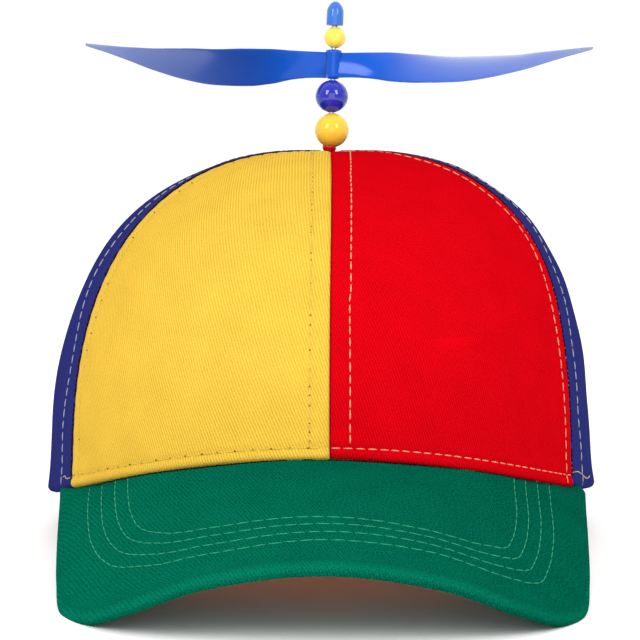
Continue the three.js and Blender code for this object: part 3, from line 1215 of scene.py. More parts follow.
class CrownSewing:
    """The crown's panels, with the stitching of their seams and hems.

    Seams and hem rows are placed by angles in degrees, from the front towards +X.
    """

    SEAMS = (-62.5, 1.9, 64.4, 122.0, 180.0, 238.0, 297.5)
    RED_HEM = (1.8, 64.0)
    YELLOW_HEM = (-62.0, 1.5)
    FRONT_DIP = 0.0006
    STITCH = 0.0029
    GAP = 0.0006
    PALE_INSET = 0.0086
    LOW_START = 0.0008
    CORNER_START = 0.0042
    BACK_START = 0.0012
    ARCH_START = 0.0095
    TONAL_SUNK = 0.0001

    def __init__(self, level: LevelFrame, crown: Crown, arch: Arch) -> None:
        """Plans the panels.

        Args:
            level: the cap's level frame.
            crown: the crown's surface.
            arch: the opening at its back.
        """
        cuts = self.SEAMS
        dip = self.FRONT_DIP
        side_hem = {"hem_radius": 0.002, "hem_puff": 0.0004}
        self.yellow = Panel(
            "yellow_front", "front_panel_yellow", Finish.YELLOW, cuts[0], cuts[1], level, crown, 11,
            laps=(0.0002, 0.00045), dips=(dip, 0.0), hem_row=True, hem_radius=0.0016,
        )
        self.red = Panel(
            "red_front", "front_panel_red", Finish.RED, cuts[1], cuts[2], level, crown, 12,
            laps=(0.0, 0.0003), dips=(0.0, dip), hem_row=True, tuck=0.0012,
        )
        self.right = Panel(
            "blue_side_right", "side_panel_right", Finish.BLUE, cuts[2], cuts[3], level, crown, 13,
            dips=(dip, 0.0), flare=0.0015, **side_hem,
        )
        self.back_right = Panel(
            "blue_back_right", "back_panel_right", Finish.BLUE, cuts[3], cuts[4], level, crown, 14,
            arch=arch,
        )
        self.back_left = Panel(
            "blue_back_left", "back_panel_left", Finish.BLUE, cuts[4], cuts[5], level, crown, 15,
            arch=arch,
        )
        self.left = Panel(
            "blue_side_left", "side_panel_left", Finish.BLUE, cuts[5], cuts[6], level, crown, 16,
            dips=(0.0, dip), flare=0.0006, **side_hem,
        )

    def panels(self) -> list[Panel]:
        """Returns the panels, from the front around to the left."""
        return [self.yellow, self.red, self.right, self.back_right, self.back_left, self.left]

    def build(self) -> list[bpy.types.Object]:
        """Makes the panels and their stitching.

        Returns:
            The pieces.
        """
        pieces = [panel.build() for panel in self.panels()]
        rows = [self.cream(), self.tails(), self.pale(), self.tonal(), self.holes(), self.ticks()]
        return pieces + rows + [self.back_rows(), self.seam_threads_and_shadow(), self.cords()]

    def cream(self) -> bpy.types.Object:
        """Makes the cream thread on the red panel.

        Returns:
            The piece.
        """
        sewing = Stitching("cream_stitches", Finish.CREAM_THREAD, radius=0.00023, seed=21)
        inset = self.red.seam_stitch
        sewing.row(self.red.seam_path(True, inset, self.CORNER_START), self.STITCH, self.GAP)
        sewing.row(self.red.seam_path(False, inset, self.LOW_START), self.STITCH, self.GAP)
        sewing.row(self.red.hem_path(self.red.hem_stitch, *self.RED_HEM), self.STITCH, self.GAP)
        return sewing.build()

    def tails(self) -> bpy.types.Object:
        """Makes the loose ends of thread beside the front corners of the hem.

        Returns:
            The piece.
        """
        sewing = Stitching("thread_tails", Finish.TAIL_THREAD, radius=0.00021, seed=27)
        right = self.right.loose_path(start=64.6, end=76.0, height=0.0046, sway=0.0007)
        left = self.left.loose_path(start=293.4, end=297.3, height=0.0040, sway=0.0004)
        for path in (right, left):
            sewing.row(path, stitch=0.0008, gap=0.0)
        return sewing.build()

    def pale(self) -> bpy.types.Object:
        """Makes the pale thread on the blue side panels.

        Returns:
            The piece.
        """
        sewing = Stitching("pale_stitches", Finish.LILAC_THREAD, radius=0.00025, seed=22)
        for panel, from_start in ((self.right, True), (self.left, False)):
            path = panel.seam_path(from_start, self.PALE_INSET, self.LOW_START)
            sewing.row(path, self.STITCH, self.GAP)
        return sewing.build()

    def ticks(self) -> bpy.types.Object:
        """Makes the short ends of thread that show in the seam between red and blue.

        Returns:
            The piece.
        """
        sewing = Stitching("seam_ticks", Finish.LILAC_THREAD, radius=0.00013, seed=26)
        path = self.right.seam_path(True, inset=0.0004, low=0.004)
        sewing.row(path, stitch=0.0006, gap=0.0008, keep=0.6)
        return sewing.build()

    def seam_threads_and_shadow(self) -> bpy.types.Object:
        """Makes the dark thread that shows deep in the seams beside the front panels, partly a painted
        shadow of their crevices.

        Returns:
            The piece.
        """
        sewing = Stitching("seam_thread_and_shadow", Finish.SEAM_THREAD_AND_SHADOW, radius=0.0003, seed=28)
        for panel, from_start, keep in ((self.right, True, 0.9), (self.left, False, 0.95)):
            path = panel.seam_path(from_start, inset=0.0005, low=0.003)
            sewing.row(path, stitch=0.0014, gap=0.0001, sunk=-0.0002, keep=keep)
        return sewing.build()

    def cords(self) -> bpy.types.Object:
        """Makes the cords that stand up in the seams behind the front panels, towards the top.

        Returns:
            The piece.
        """
        sewing = Stitching("seam_cords", Finish.SEAM_CORD, radius=0.00042, seed=29)
        for panel, from_start in ((self.left, False), (self.right, True)):
            path = panel.seam_path(from_start, inset=0.0003, low=0.092, short=0.0022)
            sewing.row(path, stitch=0.0016, gap=-0.0006, sunk=-0.0007)
        return sewing.build()

    def tonal(self) -> bpy.types.Object:
        """Makes the yellow thread on the yellow panel.

        Returns:
            The piece.
        """
        sewing = Stitching("yellow_stitches", Finish.YELLOW_THREAD, radius=0.0003, seed=23)
        for path in self.yellow_paths():
            sewing.row(path, self.STITCH, self.GAP, self.TONAL_SUNK)
        return sewing.build()

    def holes(self) -> bpy.types.Object:
        """Makes the needle holes between the yellow stitches.

        Returns:
            The piece.
        """
        sewing = Stitching("needle_holes", Finish.NEEDLE_HOLE, radius=0.00031, seed=24)
        middle, outer, hem = self.yellow_paths()
        sewing.row(middle, stitch=0.0005, gap=0.0021, sunk=0.00018, keep=0.9)
        sewing.row(outer, stitch=0.0005, gap=0.0049, keep=0.6)
        sewing.row(hem, stitch=0.0007, gap=0.0047, keep=0.95)
        return sewing.build()

    def yellow_paths(self) -> list[list[Spot]]:
        """Follows the rows of stitching on the yellow panel.

        Returns:
            The rows beside the middle seam, beside the outer seam and along the hem.
        """
        panel = self.yellow
        return [
            panel.seam_path(False, panel.seam_stitch, self.CORNER_START),
            panel.seam_path(True, panel.seam_stitch, self.LOW_START),
            panel.hem_path(panel.hem_stitch, *self.YELLOW_HEM),
        ]

    def back_rows(self) -> bpy.types.Object:
        """Makes the blue thread beside the seams at the sides and the back.

        Returns:
            The piece.
        """
        sewing = Stitching("blue_stitches", Finish.BLUE_THREAD, radius=0.0003, seed=25)
        rows = (
            (self.right, False, self.BACK_START),
            (self.back_right, True, self.BACK_START),
            (self.back_left, False, self.BACK_START),
            (self.left, True, self.BACK_START),
            (self.back_right, False, self.ARCH_START),
            (self.back_left, True, self.ARCH_START),
        )
        for panel, from_start, low in rows:
            path = panel.seam_path(from_start, panel.seam_stitch, low)
            sewing.row(path, self.STITCH, self.GAP)
        return sewing.build()


@dataclass
class Binding:
    """The folded tape around the opening at the back, with its stitching."""

    level: LevelFrame
    crown: Crown
    arch: Arch
    width: float = 0.0085
    wall: float = 0.0016
    stand: float = 0.0006
    tape: float = 0.0004
    columns: int = 120
    rows: int = 36
    end_share: float = 0.012
    fold_start: float = 0.42
    fold_end: float = 0.58
    edge_tuck: float = 0.0005
    edge_share: float = 0.07
    flat_origin: tuple[float, float] = (0.2, 0.3)
    flat_size: tuple[float, float] = (0.5, 0.08)
    stitch: float = 0.0027
    gap: float = 0.0009
    stitch_inset: float = 0.0068
    stitch_end: float = 0.06
    stitch_points: int = 300
    outside: float = 0.002

    def frames(self, turn: np.ndarray) -> tuple[np.ndarray, np.ndarray, np.ndarray]:
        """Follows the opening's edge.

        Args:
            turn: angles around the opening, from 0 at one foot to pi at the other.
        Returns:
            The edge's points, the crown's outward directions, and the directions into the cloth.
        """
        across = np.cos(turn) * self.arch.half_width
        angle = math.pi - np.arcsin(across / self.crown.half_width)
        climb = self.crown.back_climb(self.arch.height * np.sin(turn))
        edge = self.crown.points(angle, climb)
        normal = self.crown.normals(angle, climb)
        along = np.gradient(edge, turn, axis=0)
        into = np.cross(along, normal)
        into /= np.linalg.norm(into, axis=-1, keepdims=True)
        return edge, normal, into

    def place(self, across: np.ndarray, up: np.ndarray) -> tuple[np.ndarray, np.ndarray]:
        """Gives the tape's grid its shape.

        Args:
            across: shares along the opening.
            up: shares across the tape, from inside to outside.
        Returns:
            The points and the flat coordinates.
        """
        columns, column_of = np.unique(np.round(across, 6), return_inverse=True)
        edge, normal, into = self.frames(math.pi * lerp(self.end_share, 1 - self.end_share, columns))
        middle = -self.wall / 2
        half = self.wall / 2 + self.stand
        fold = (up - self.fold_start) / (self.fold_end - self.fold_start)
        bend = np.clip(fold, 0, 1) * math.pi - math.pi / 2
        inside = (self.fold_start - up) / self.fold_start
        outside = (up - self.fold_end) / (1 - self.fold_end)
        flat_part = np.where(up < 0.5, inside, outside)
        depth = self.width * np.clip(flat_part, 0, 1) - half * np.cos(bend)
        tuck = self.edge_tuck * np.clip(flat_part - 1 + self.edge_share, 0, 1) / self.edge_share
        stand = middle + (half - tuck) * np.sin(bend)
        points = edge[column_of] + into[column_of] * depth[:, None] + normal[column_of] * stand[:, None]
        flat = np.stack([across, up], -1) * self.flat_size + self.flat_origin
        return self.level.points(points), flat

    def build(self) -> list[bpy.types.Object]:
        """Makes the tape and its stitching.

        Returns:
            The two pieces.
        """
        bm = mapped_sheet(self.columns, self.rows, self.place)
        bmesh.ops.recalc_face_normals(bm, faces=bm.faces)
        tree = BVHTree.FromBMesh(bm)
        piece = shown("arch_binding", bm, Finish.BLUE, "cap")
        thicken(piece, self.tape)
        turn = np.linspace(self.stitch_end, math.pi - self.stitch_end, self.stitch_points)
        edge, normal, into = self.frames(turn)
        above = edge + into * self.stitch_inset + normal * (self.stand + self.outside)
        path = nearest_spots(tree, [self.level.point(*point) for point in above])
        sewing = Stitching("binding_stitches", Finish.BLUE_THREAD, radius=0.0003, seed=31)
        sewing.row(path, self.stitch, self.gap)
        return [piece, sewing.build()]


@dataclass
class Strap:
    """The strap across the foot of the opening at the back."""

    level: LevelFrame
    crown: Crown
    arch: Arch
    height: float = 0.020
    thickness: float = 0.0019
    depth: float = 0.0027
    lap: float = 0.011
    columns: int = 110
    around: int = 44
    tall_power: float = 0.5
    thick_power: float = 0.45
    flat_origin: tuple[float, float] = (0.2, 0.3)
    flat_width: float = 0.4
    flat_lining: float = 0.1
    stitch_rows: tuple[float, float] = (0.15, 0.85)
    stitch: float = 0.0027
    gap: float = 0.0009
    stitch_span: float = 0.97
    stitch_points: int = 160
    dent: float = 0.00018
    dent_width: float = 0.03

    def place(self, across: np.ndarray, up: np.ndarray) -> tuple[np.ndarray, np.ndarray]:
        """Gives the strap's grid its shape.

        Args:
            across: shares along the strap.
            up: shares around its section.
        Returns:
            The points and the flat coordinates.
        """
        reach = math.asin((self.arch.half_width + self.lap) / self.crown.half_width)
        angle = math.pi + reach * (2 * across - 1)
        turn = math.tau * up
        tall = np.sign(np.cos(turn)) * np.abs(np.cos(turn)) ** self.tall_power
        thick = np.sign(np.sin(turn)) * np.abs(np.sin(turn)) ** self.thick_power
        height = self.height * (0.5 + 0.5 * tall)
        climb = self.crown.back_climb(height)
        offset = -self.depth - self.thickness * (0.5 - 0.5 * thick)
        for row in self.stitch_rows:
            offset = offset - self.dent * thick * bell(height / self.height - row, self.dent_width)
        shell = self.crown.points(angle, climb) + self.crown.normals(angle, climb) * offset[:, None]
        left, foot = self.flat_origin
        flat_up = height / CLOTH_TILE + foot + self.flat_lining * (thick < 0)
        return self.level.points(shell), np.stack([across * self.flat_width + left, flat_up], -1)

    def build(self) -> list[bpy.types.Object]:
        """Makes the strap and its stitching.

        Returns:
            The two pieces.
        """
        bm = mapped_sheet(self.columns, self.around, self.place, closed=True)
        tree = BVHTree.FromBMesh(bm)
        piece = shown("strap_band", bm, Finish.BLUE, "cap", "back_strap")
        sewing = Stitching("strap_stitches", Finish.BLUE_THREAD, radius=0.0003, seed=32)
        span = math.asin(self.arch.half_width / self.crown.half_width) * self.stitch_span
        angle = np.linspace(math.pi - span, math.pi + span, self.stitch_points)
        for share in self.stitch_rows:
            climb = self.crown.back_climb(np.full_like(angle, self.height * share))
            points = [self.level.point(*point) for point in self.crown.points(angle, climb)]
            sewing.row(nearest_spots(tree, points), self.stitch, self.gap)
        return [piece, sewing.build()]


@dataclass
class Peak:
    """The stiff peak with its rows of stitching.

    The edge's table gives x, y and z along the right half of the front edge. The tables of the
    outermost and innermost rows of stitching give x and y in millimetres, seen from above.
    """

    level: LevelFrame
    crown: Crown
    span: float = math.radians(68.5)
    shift: float = 0.0007
    skew: float = 0.028
    half: float = 0.00175
    nose: float = 0.004
    overhang: float = 0.0009
    crowning: float = 0.0015
    tuck: float = 0.0022
    drop: float = 0.0018
    side_drop: float = 0.0004
    end_drop: float = 0.0012
    end_share: float = 0.8
    lip: float = 0.0009
    lip_share: float = 0.045
    # The dark cord of painted shadow in the groove under the hem: how far along, how low and how far in
    # it runs.
    groove_shadow_share: float = 0.93
    groove_shadow_drop: float = 0.0003
    groove_shadow_inset: float = 0.992
    # Where the painted highlight sits around the front edge's turn, and how wide it spreads.
    highlight_turn: float = math.radians(45)
    highlight_width: float = math.radians(30)
    columns: int = 250
    around: int = 130
    top_end: float = 0.54
    under_start: float = 0.68
    nose_share: float = 0.055
    under_nose: float = 0.3
    rim_share: float = 1 / 7
    taut_edge: float = 0.06
    drape: Drape = Drape(41, 0.00016)
    row_dent: float = 0.0003
    row_dent_width: float = 0.0008
    flat_origin: tuple[float, float] = (0.5, 0.45)
    flat_under: float = 0.3
    edge_samples: int = 600
    knot_power: float = 0.5
    dent_samples: int = 320
    dent_blocks: int = 24
    row_samples: int = 700
    row_stitch: float = 0.0040
    row_gap: float = 0.0003
    row_sunk: float = 0.00002
    above: float = 0.06
    groove_shadow_samples: int = 500
    groove_shadow_stitch: float = 0.0012
    groove_shadow_sunk: float = 0.00006
    edge_table: tuple[tuple[float, float, float], ...] = (
        (0.0, -0.166, 0.0184),
        (0.032, -0.1595, 0.014),
        (0.0525, -0.1472, 0.0063),
        (0.0653, -0.1325, 0.0018),
        (0.0723, -0.1190, 0.0028),
        (0.0747, -0.102, 0.009),
        (0.0763, -0.076, 0.0189),
        (0.0771, -0.054, 0.0272),
        (0.0780, -0.037, 0.0318),
    )
    outer_row: tuple[tuple[float, float], ...] = (
        (-68.5, -58), (-67.5, -80), (-65.5, -96), (-62, -109), (-57.5, -119), (-50.5, -129),
        (-40, -140.5), (-27, -148.5), (-14, -151.5), (0, -153), (14, -152.5), (28, -149.5),
        (39, -145.5), (46, -141.5), (52.5, -137), (57.5, -132), (61, -126), (63.5, -116.5),
        (66.5, -98), (67.5, -72), (68, -58),
    )
    inner_row: tuple[tuple[float, float], ...] = (
        (-56.5, -66), (-55.5, -85), (-54, -96), (-50.5, -108), (-44, -119), (-36, -127.5),
        (-26, -134), (-13, -137.5), (0, -139.5), (14, -139), (26, -137), (33, -134.5), (40, -131),
        (46.5, -126), (51, -121), (54, -111), (56, -98), (56.5, -80), (57, -66),
    )
    row_shares: tuple[float, ...] = (0.0, 0.34, 0.68, 1.0)

    def edge(self, across: np.ndarray) -> np.ndarray:
        """Follows the front edge.

        Args:
            across: shares of its length, from the left end to the right.
        Returns:
            The edge's points.
        """
        half = np.array(self.edge_table)
        table = np.vstack([half[:0:-1] * (-1, 1, 1), half])
        chords = np.linalg.norm(np.diff(table, axis=0), axis=1) ** self.knot_power
        knots = np.concatenate([[0], np.cumsum(chords)])
        fine = np.linspace(0, knots[-1], self.edge_samples)
        curve = np.stack([smooth_through(fine, knots, table[:, i]) for i in range(3)], -1)
        travel = np.concatenate([[0], np.cumsum(np.linalg.norm(np.diff(curve, axis=0), axis=1))])
        points = np.stack([np.interp(across, travel / travel[-1], curve[:, i]) for i in range(3)], -1)
        points[..., 1] -= self.skew * points[..., 0]
        return points + (self.shift, 0, 0)

    def middle(self, across: np.ndarray, out: np.ndarray) -> np.ndarray:
        """Gives the middle surface its shape.

        Args:
            across: shares along the hem.
            out: shares of the way from the hem out to the front edge.
        Returns:
            The surface's points.
        """
        angle = self.span * (2 * across - 1)
        inner = self.crown.points(angle, np.zeros_like(angle))
        inner = inner - self.crown.normals(angle, np.zeros_like(angle)) * self.tuck
        towards_end = np.clip((np.abs(2 * across - 1) - self.end_share) / (1 - self.end_share), 0, 1)
        fall = lerp(self.drop, self.side_drop, np.sin(angle) ** 2)
        fall = fall + self.end_drop * towards_end**2 * (3 - 2 * towards_end)
        inner[..., 2] = self.crown.hem(angle)[..., 2] - fall
        points = lerp(inner, self.edge(across), out[..., None])
        points[..., 2] += self.crowning * 4 * out * (1 - out)
        points[..., 2] += self.lip * np.clip(1 - out / self.lip_share, 0, 1) ** 2
        return points

    def directions(self, across: np.ndarray, out: np.ndarray) -> tuple[np.ndarray, np.ndarray]:
        """Finds the middle surface's directions.

        Args:
            across: shares along the hem.
            out: shares of the way out.
        Returns:
            The upward and the outward directions, of length 1.
        """
        step = 2e-3
        left, right = np.clip(across - step, 0, 1), np.clip(across + step, 0, 1)
        near, far = np.clip(out - step, 0, 1), np.clip(out + step, 0, 1)
        along = self.middle(right, out) - self.middle(left, out)
        forward = self.middle(across, far) - self.middle(across, near)
        upward = np.cross(forward, along)
        upward /= np.linalg.norm(upward, axis=-1, keepdims=True)
        outward = np.cross(along, upward)
        outward /= np.linalg.norm(outward, axis=-1, keepdims=True)
        return upward, outward

    def row_curve(self, share: float, count: int) -> np.ndarray:
        """Returns a row of stitching seen from above, from the left leg around to the right.

        Args:
            share: the row's place, from the outermost row at 0 to the innermost at 1.
            count: the number of points.
        Returns:
            The points' x and y.
        """
        curves = []
        for table in (self.outer_row, self.inner_row):
            points = np.array(table) / MM_PER_METRE
            steps = np.linalg.norm(np.diff(points, axis=0), axis=1)
            knots = np.concatenate([[0], np.cumsum(steps)])
            at = np.linspace(0, knots[-1], count)
            curves.append(np.stack([smooth_through(at, knots, points[:, i]) for i in range(2)], -1))
        return lerp(curves[0], curves[1], share)

    def row_distance(self, points: np.ndarray) -> np.ndarray:
        """Measures how far points lie from the nearest row of stitching, seen from above.

        Args:
            points: the points.
        Returns:
            The distances.
        """
        rows = np.vstack([self.row_curve(share, self.dent_samples) for share in self.row_shares])
        nearest = []
        for block in np.array_split(points[:, :2], self.dent_blocks):
            apart = np.linalg.norm(block[:, None, :] - rows[None, :, :], axis=-1)
            nearest.append(apart.min(axis=1))
        return np.concatenate(nearest)

    def place(self, across: np.ndarray, up: np.ndarray) -> tuple[np.ndarray, np.ndarray]:
        """Gives the peak's grid its shape: the top, a rounded front edge, and the underside.

        Args:
            across: shares along the hem.
            up: shares around the section, from the hem over the top and back underneath.
        Returns:
            The points, and the flat coordinates with the painted highlight along the front edge.
        """
        top_end, under_start = self.top_end, self.under_start
        under = np.where(up > under_start, (1 - up) / (1 - under_start), 1.0)
        out = np.where(up < top_end, up / top_end, under)
        at_nose = out >= 1
        turn = math.pi * np.clip((up - top_end) / (under_start - top_end), 0, 1)
        hem = self.middle(across, np.zeros_like(across))
        length = np.linalg.norm(self.edge(across) - hem, axis=-1)
        nose = np.minimum(self.nose, self.nose_share * length)
        nose = nose * np.where(up < (top_end + under_start) / 2, 1.0, self.under_nose)
        middle = self.middle(across, out)
        upward, outward = self.directions(across, out)
        relief = self.drape.offsets(middle[..., 0], middle[..., 1])
        relief -= self.row_dent * bell(self.row_distance(middle), self.row_dent_width)
        relief *= np.clip((1 - out) / self.taut_edge, 0, 1)
        rise = np.where(up < top_end, self.half + relief, self.half * np.cos(turn))
        rim = np.clip(1 - (1 - out) / self.rim_share, 0, 1)
        reach = nose * (np.where(at_nose, np.sin(turn), 0) - rim**2) + self.overhang * rim
        points = middle + upward * rise[:, None] + outward * reach[:, None]
        flat = middle[..., :2] / CLOTH_TILE + self.flat_origin
        flat[..., 1] -= np.where(at_nose, reach + nose + self.half * turn, 0.0) / CLOTH_TILE
        flat[..., 1] += np.where(up > under_start, self.flat_under, 0.0)
        # Painted highlight: a lighter band on the crest of the front edge, partway around its turn.
        painted_highlight_share = np.where(at_nose, bell(turn - self.highlight_turn, self.highlight_width), 0.0)
        points = self.level.points(points)
        points[:, 2] = np.maximum(points[:, 2], 0.0)
        return points, np.column_stack([flat, painted_highlight_share])

    def rows(self, tree: BVHTree) -> bpy.types.Object:
        """Makes the rows of stitching on the peak's top.

        Args:
            tree: the peak's surface.
        Returns:
            The piece.
        """
        sewing = Stitching("peak_stitches", Finish.GREEN_THREAD, radius=0.00018, seed=33)
        down = self.level.direction(0, 0, -1)
        for share in self.row_shares:
            path = []
            for x, y in self.row_curve(share, self.row_samples):
                place, normal, _, _ = tree.ray_cast(self.level.point(x, y, self.above), down)
                if place is not None:
                    path.append((place, normal))
            sewing.row(path, self.row_stitch, self.row_gap, self.row_sunk)
        return sewing.build()

    def groove_shadow(self, tree: BVHTree) -> bpy.types.Object:
        """Makes a dark cord in the groove between the hem and the peak, a painted shadow of the groove.

        Args:
            tree: the peak's surface.
        Returns:
            The piece.
        """
        sewing = Stitching("peak_groove_shadow", Finish.GROOVE_SHADOW_CORD, radius=0.0003, seed=34)
        angle = np.linspace(-self.span, self.span, self.groove_shadow_samples) * self.groove_shadow_share
        inset = self.groove_shadow_inset
        hem = self.crown.hem(angle) * (inset, inset, 1) - (0, 0, self.groove_shadow_drop)
        path = nearest_spots(tree, [self.level.point(*point) for point in hem])
        sewing.row(path, self.groove_shadow_stitch, 0.0, self.groove_shadow_sunk)
        return sewing.build()

    def build(self) -> list[bpy.types.Object]:
        """Makes the peak, its stitching and the dark cord of painted shadow under the hem.

        Returns:
            The pieces.
        """
        bm = mapped_sheet(self.columns, self.around, self.place, closed=True)
        tree = BVHTree.FromBMesh(bm)
        piece = shown("peak_cloth", bm, Finish.GREEN, "cap", "peak")
        return [piece, self.rows(tree), self.groove_shadow(tree)]


@dataclass(frozen=True)
class Ball:
    """A round bead with a bore."""

    name: str
    node: str
    finish: Finish
    bottom: float
    height: float
    aside: float
    rim: float = 0.00025
    rim_depth: float = 0.0002
    points: int = 33

    def profile(self, bore: float) -> list[tuple[float, float]]:
        """Follows the bead's section, up the bore and down the outside.

        Args:
            bore: the bore's radius.
        Returns:
            The section's (radius, height) points.
        """
        radius = self.height / 2
        middle = self.bottom + radius
        opening = math.asin((bore + self.rim) / radius)
        turns = np.linspace(opening, math.pi - opening, self.points)
        outside = [(radius * math.sin(t), middle + radius * math.cos(t)) for t in turns]
        low, high = outside[-1][1], outside[0][1]
        return [(bore, low + self.rim_depth), (bore, high - self.rim_depth)] + outside


@dataclass
class Stack:
    """The post with its beads and finial. Heights are measured from the top of the crown.

    The table of the spacer's section gives radius and height. The finial's rim gives, for each
    point, how far it lies inside the finial's radius and above its bottom.
    """

    level: LevelFrame
    steps: int = 40
    bead_steps: int = 56
    finial_steps: int = 48
    post_radius: float = 0.0008
    bore: float = 0.0011
    rim: float = 0.0003
    flange_radius: float = 0.007
    flange_bottom: float = -0.0035
    flange_top: float = -0.0023
    post_top: float = 0.0441
    spacer_aside: float = -0.0004
    spacer_tilt: float = math.radians(9)
    spacer_middle: float = 0.0009
    spacer_section: tuple[tuple[float, float], ...] = (
        (0.0013, 0.0001),
        (0.0013, 0.0014),
        (0.0019, 0.0018),
        (0.0022, 0.0019),
        (0.0023, 0.0016),
        (0.0021, 0.0009),
        (0.0017, 0.0003),
        (0.0015, 0.0001),
    )
    balls: tuple[Ball, ...] = (
        Ball("large_yellow_bead", "bead_yellow_large", Finish.YELLOW_PLASTIC, 0.00155, 0.0109, 0.0003),
        Ball("large_blue_bead", "bead_blue_large", Finish.DARK_BLUE_PLASTIC, 0.01255, 0.0104, -0.0001),
        Ball("small_yellow_bead", "bead_yellow_small", Finish.PALE_PLASTIC, 0.0330, 0.0069, 0.0002),
    )
    finial_bottom: float = 0.0402
    finial_height: float = 0.0078
    finial_radius: float = 0.0027
    finial_straight: float = 0.0047
    finial_depth: float = 0.004
    finial_power: float = 1.4
    finial_points: int = 15
    finial_rim: tuple[tuple[float, float], ...] = ((0.0003, 0.0), (0.00008, 0.0001), (0.0, 0.0004))

    def stand(self, name: str, bm: BMesh, finish: Finish, node: str) -> bpy.types.Object:
        """Stands a turned piece on the stack's axis."""
        bmesh.ops.transform(bm, matrix=self.level.stack, verts=bm.verts)
        return shown(name, bm, finish, "cap", node)

    def build(self) -> list[bpy.types.Object]:
        """Makes the post, the spacer, the beads and the finial.

        Returns:
            The pieces.
        """
        pieces = [
            self.stand("post_rod", self.post(), Finish.STEEL, "post"),
            self.stand("red_spacer", self.spacer(), Finish.RED_PLASTIC, "spacer_bead_red"),
        ]
        for ball in self.balls:
            bm = turned(ball.profile(self.bore), self.bead_steps, True)
            bmesh.ops.translate(bm, verts=bm.verts, vec=(ball.aside, 0.0, 0.0))
            pieces.append(self.stand(ball.name, bm, ball.finish, ball.node))
        pieces.append(self.stand("blue_finial", self.finial(), Finish.LIGHT_BLUE_PLASTIC, "finial"))
        return pieces

    def post(self) -> BMesh:
        """Shapes the post: a rod on a flange, with its edges broken.

        Returns:
            The mesh.
        """
        rim = self.rim
        section = [
            (0.0, self.flange_bottom),
            (self.flange_radius - rim, self.flange_bottom),
            (self.flange_radius, self.flange_bottom + rim),
            (self.flange_radius, self.flange_top - rim),
            (self.flange_radius - rim, self.flange_top),
            (self.post_radius + rim, self.flange_top),
            (self.post_radius, self.flange_top + rim),
            (self.post_radius, self.post_top - rim / 2),
            (self.post_radius - rim / 2, self.post_top),
            (0.0, self.post_top),
        ]
        return turned(section, self.steps, False)

    def spacer(self) -> BMesh:
        """Shapes the spacer: a small cup that sits a little tilted on the post.

        Returns:
            The mesh.
        """
        bm = turned(self.spacer_section, self.steps, True)
        tilt = Matrix.Rotation(self.spacer_tilt, 3, "Y")
        bmesh.ops.rotate(bm, verts=bm.verts, cent=(0, 0, self.spacer_middle), matrix=tilt)
        bmesh.ops.translate(bm, verts=bm.verts, vec=(self.spacer_aside, 0.0, 0.0))
        return bm

    def finial(self) -> BMesh:
        """Shapes the finial: a round-topped cap with a blind bore.

        Returns:
            The mesh.
        """
        bottom, radius = self.finial_bottom, self.finial_radius
        dome = self.finial_height - self.finial_straight
        blind = bottom + self.finial_depth
        section = [(0.0, blind), (self.bore, blind), (self.bore, bottom)]
        section += [(radius - inset, bottom + rise) for inset, rise in self.finial_rim]
        for share in np.linspace(0, 1, self.finial_points):
            rise = math.sin(share * math.pi / 2)
            height = bottom + self.finial_straight + dome * rise
            section.append((radius * math.sqrt(1 - rise**self.finial_power), height))
        section[-1] = (0.0, bottom + self.finial_height)
        return turned(section, self.finial_steps, False)


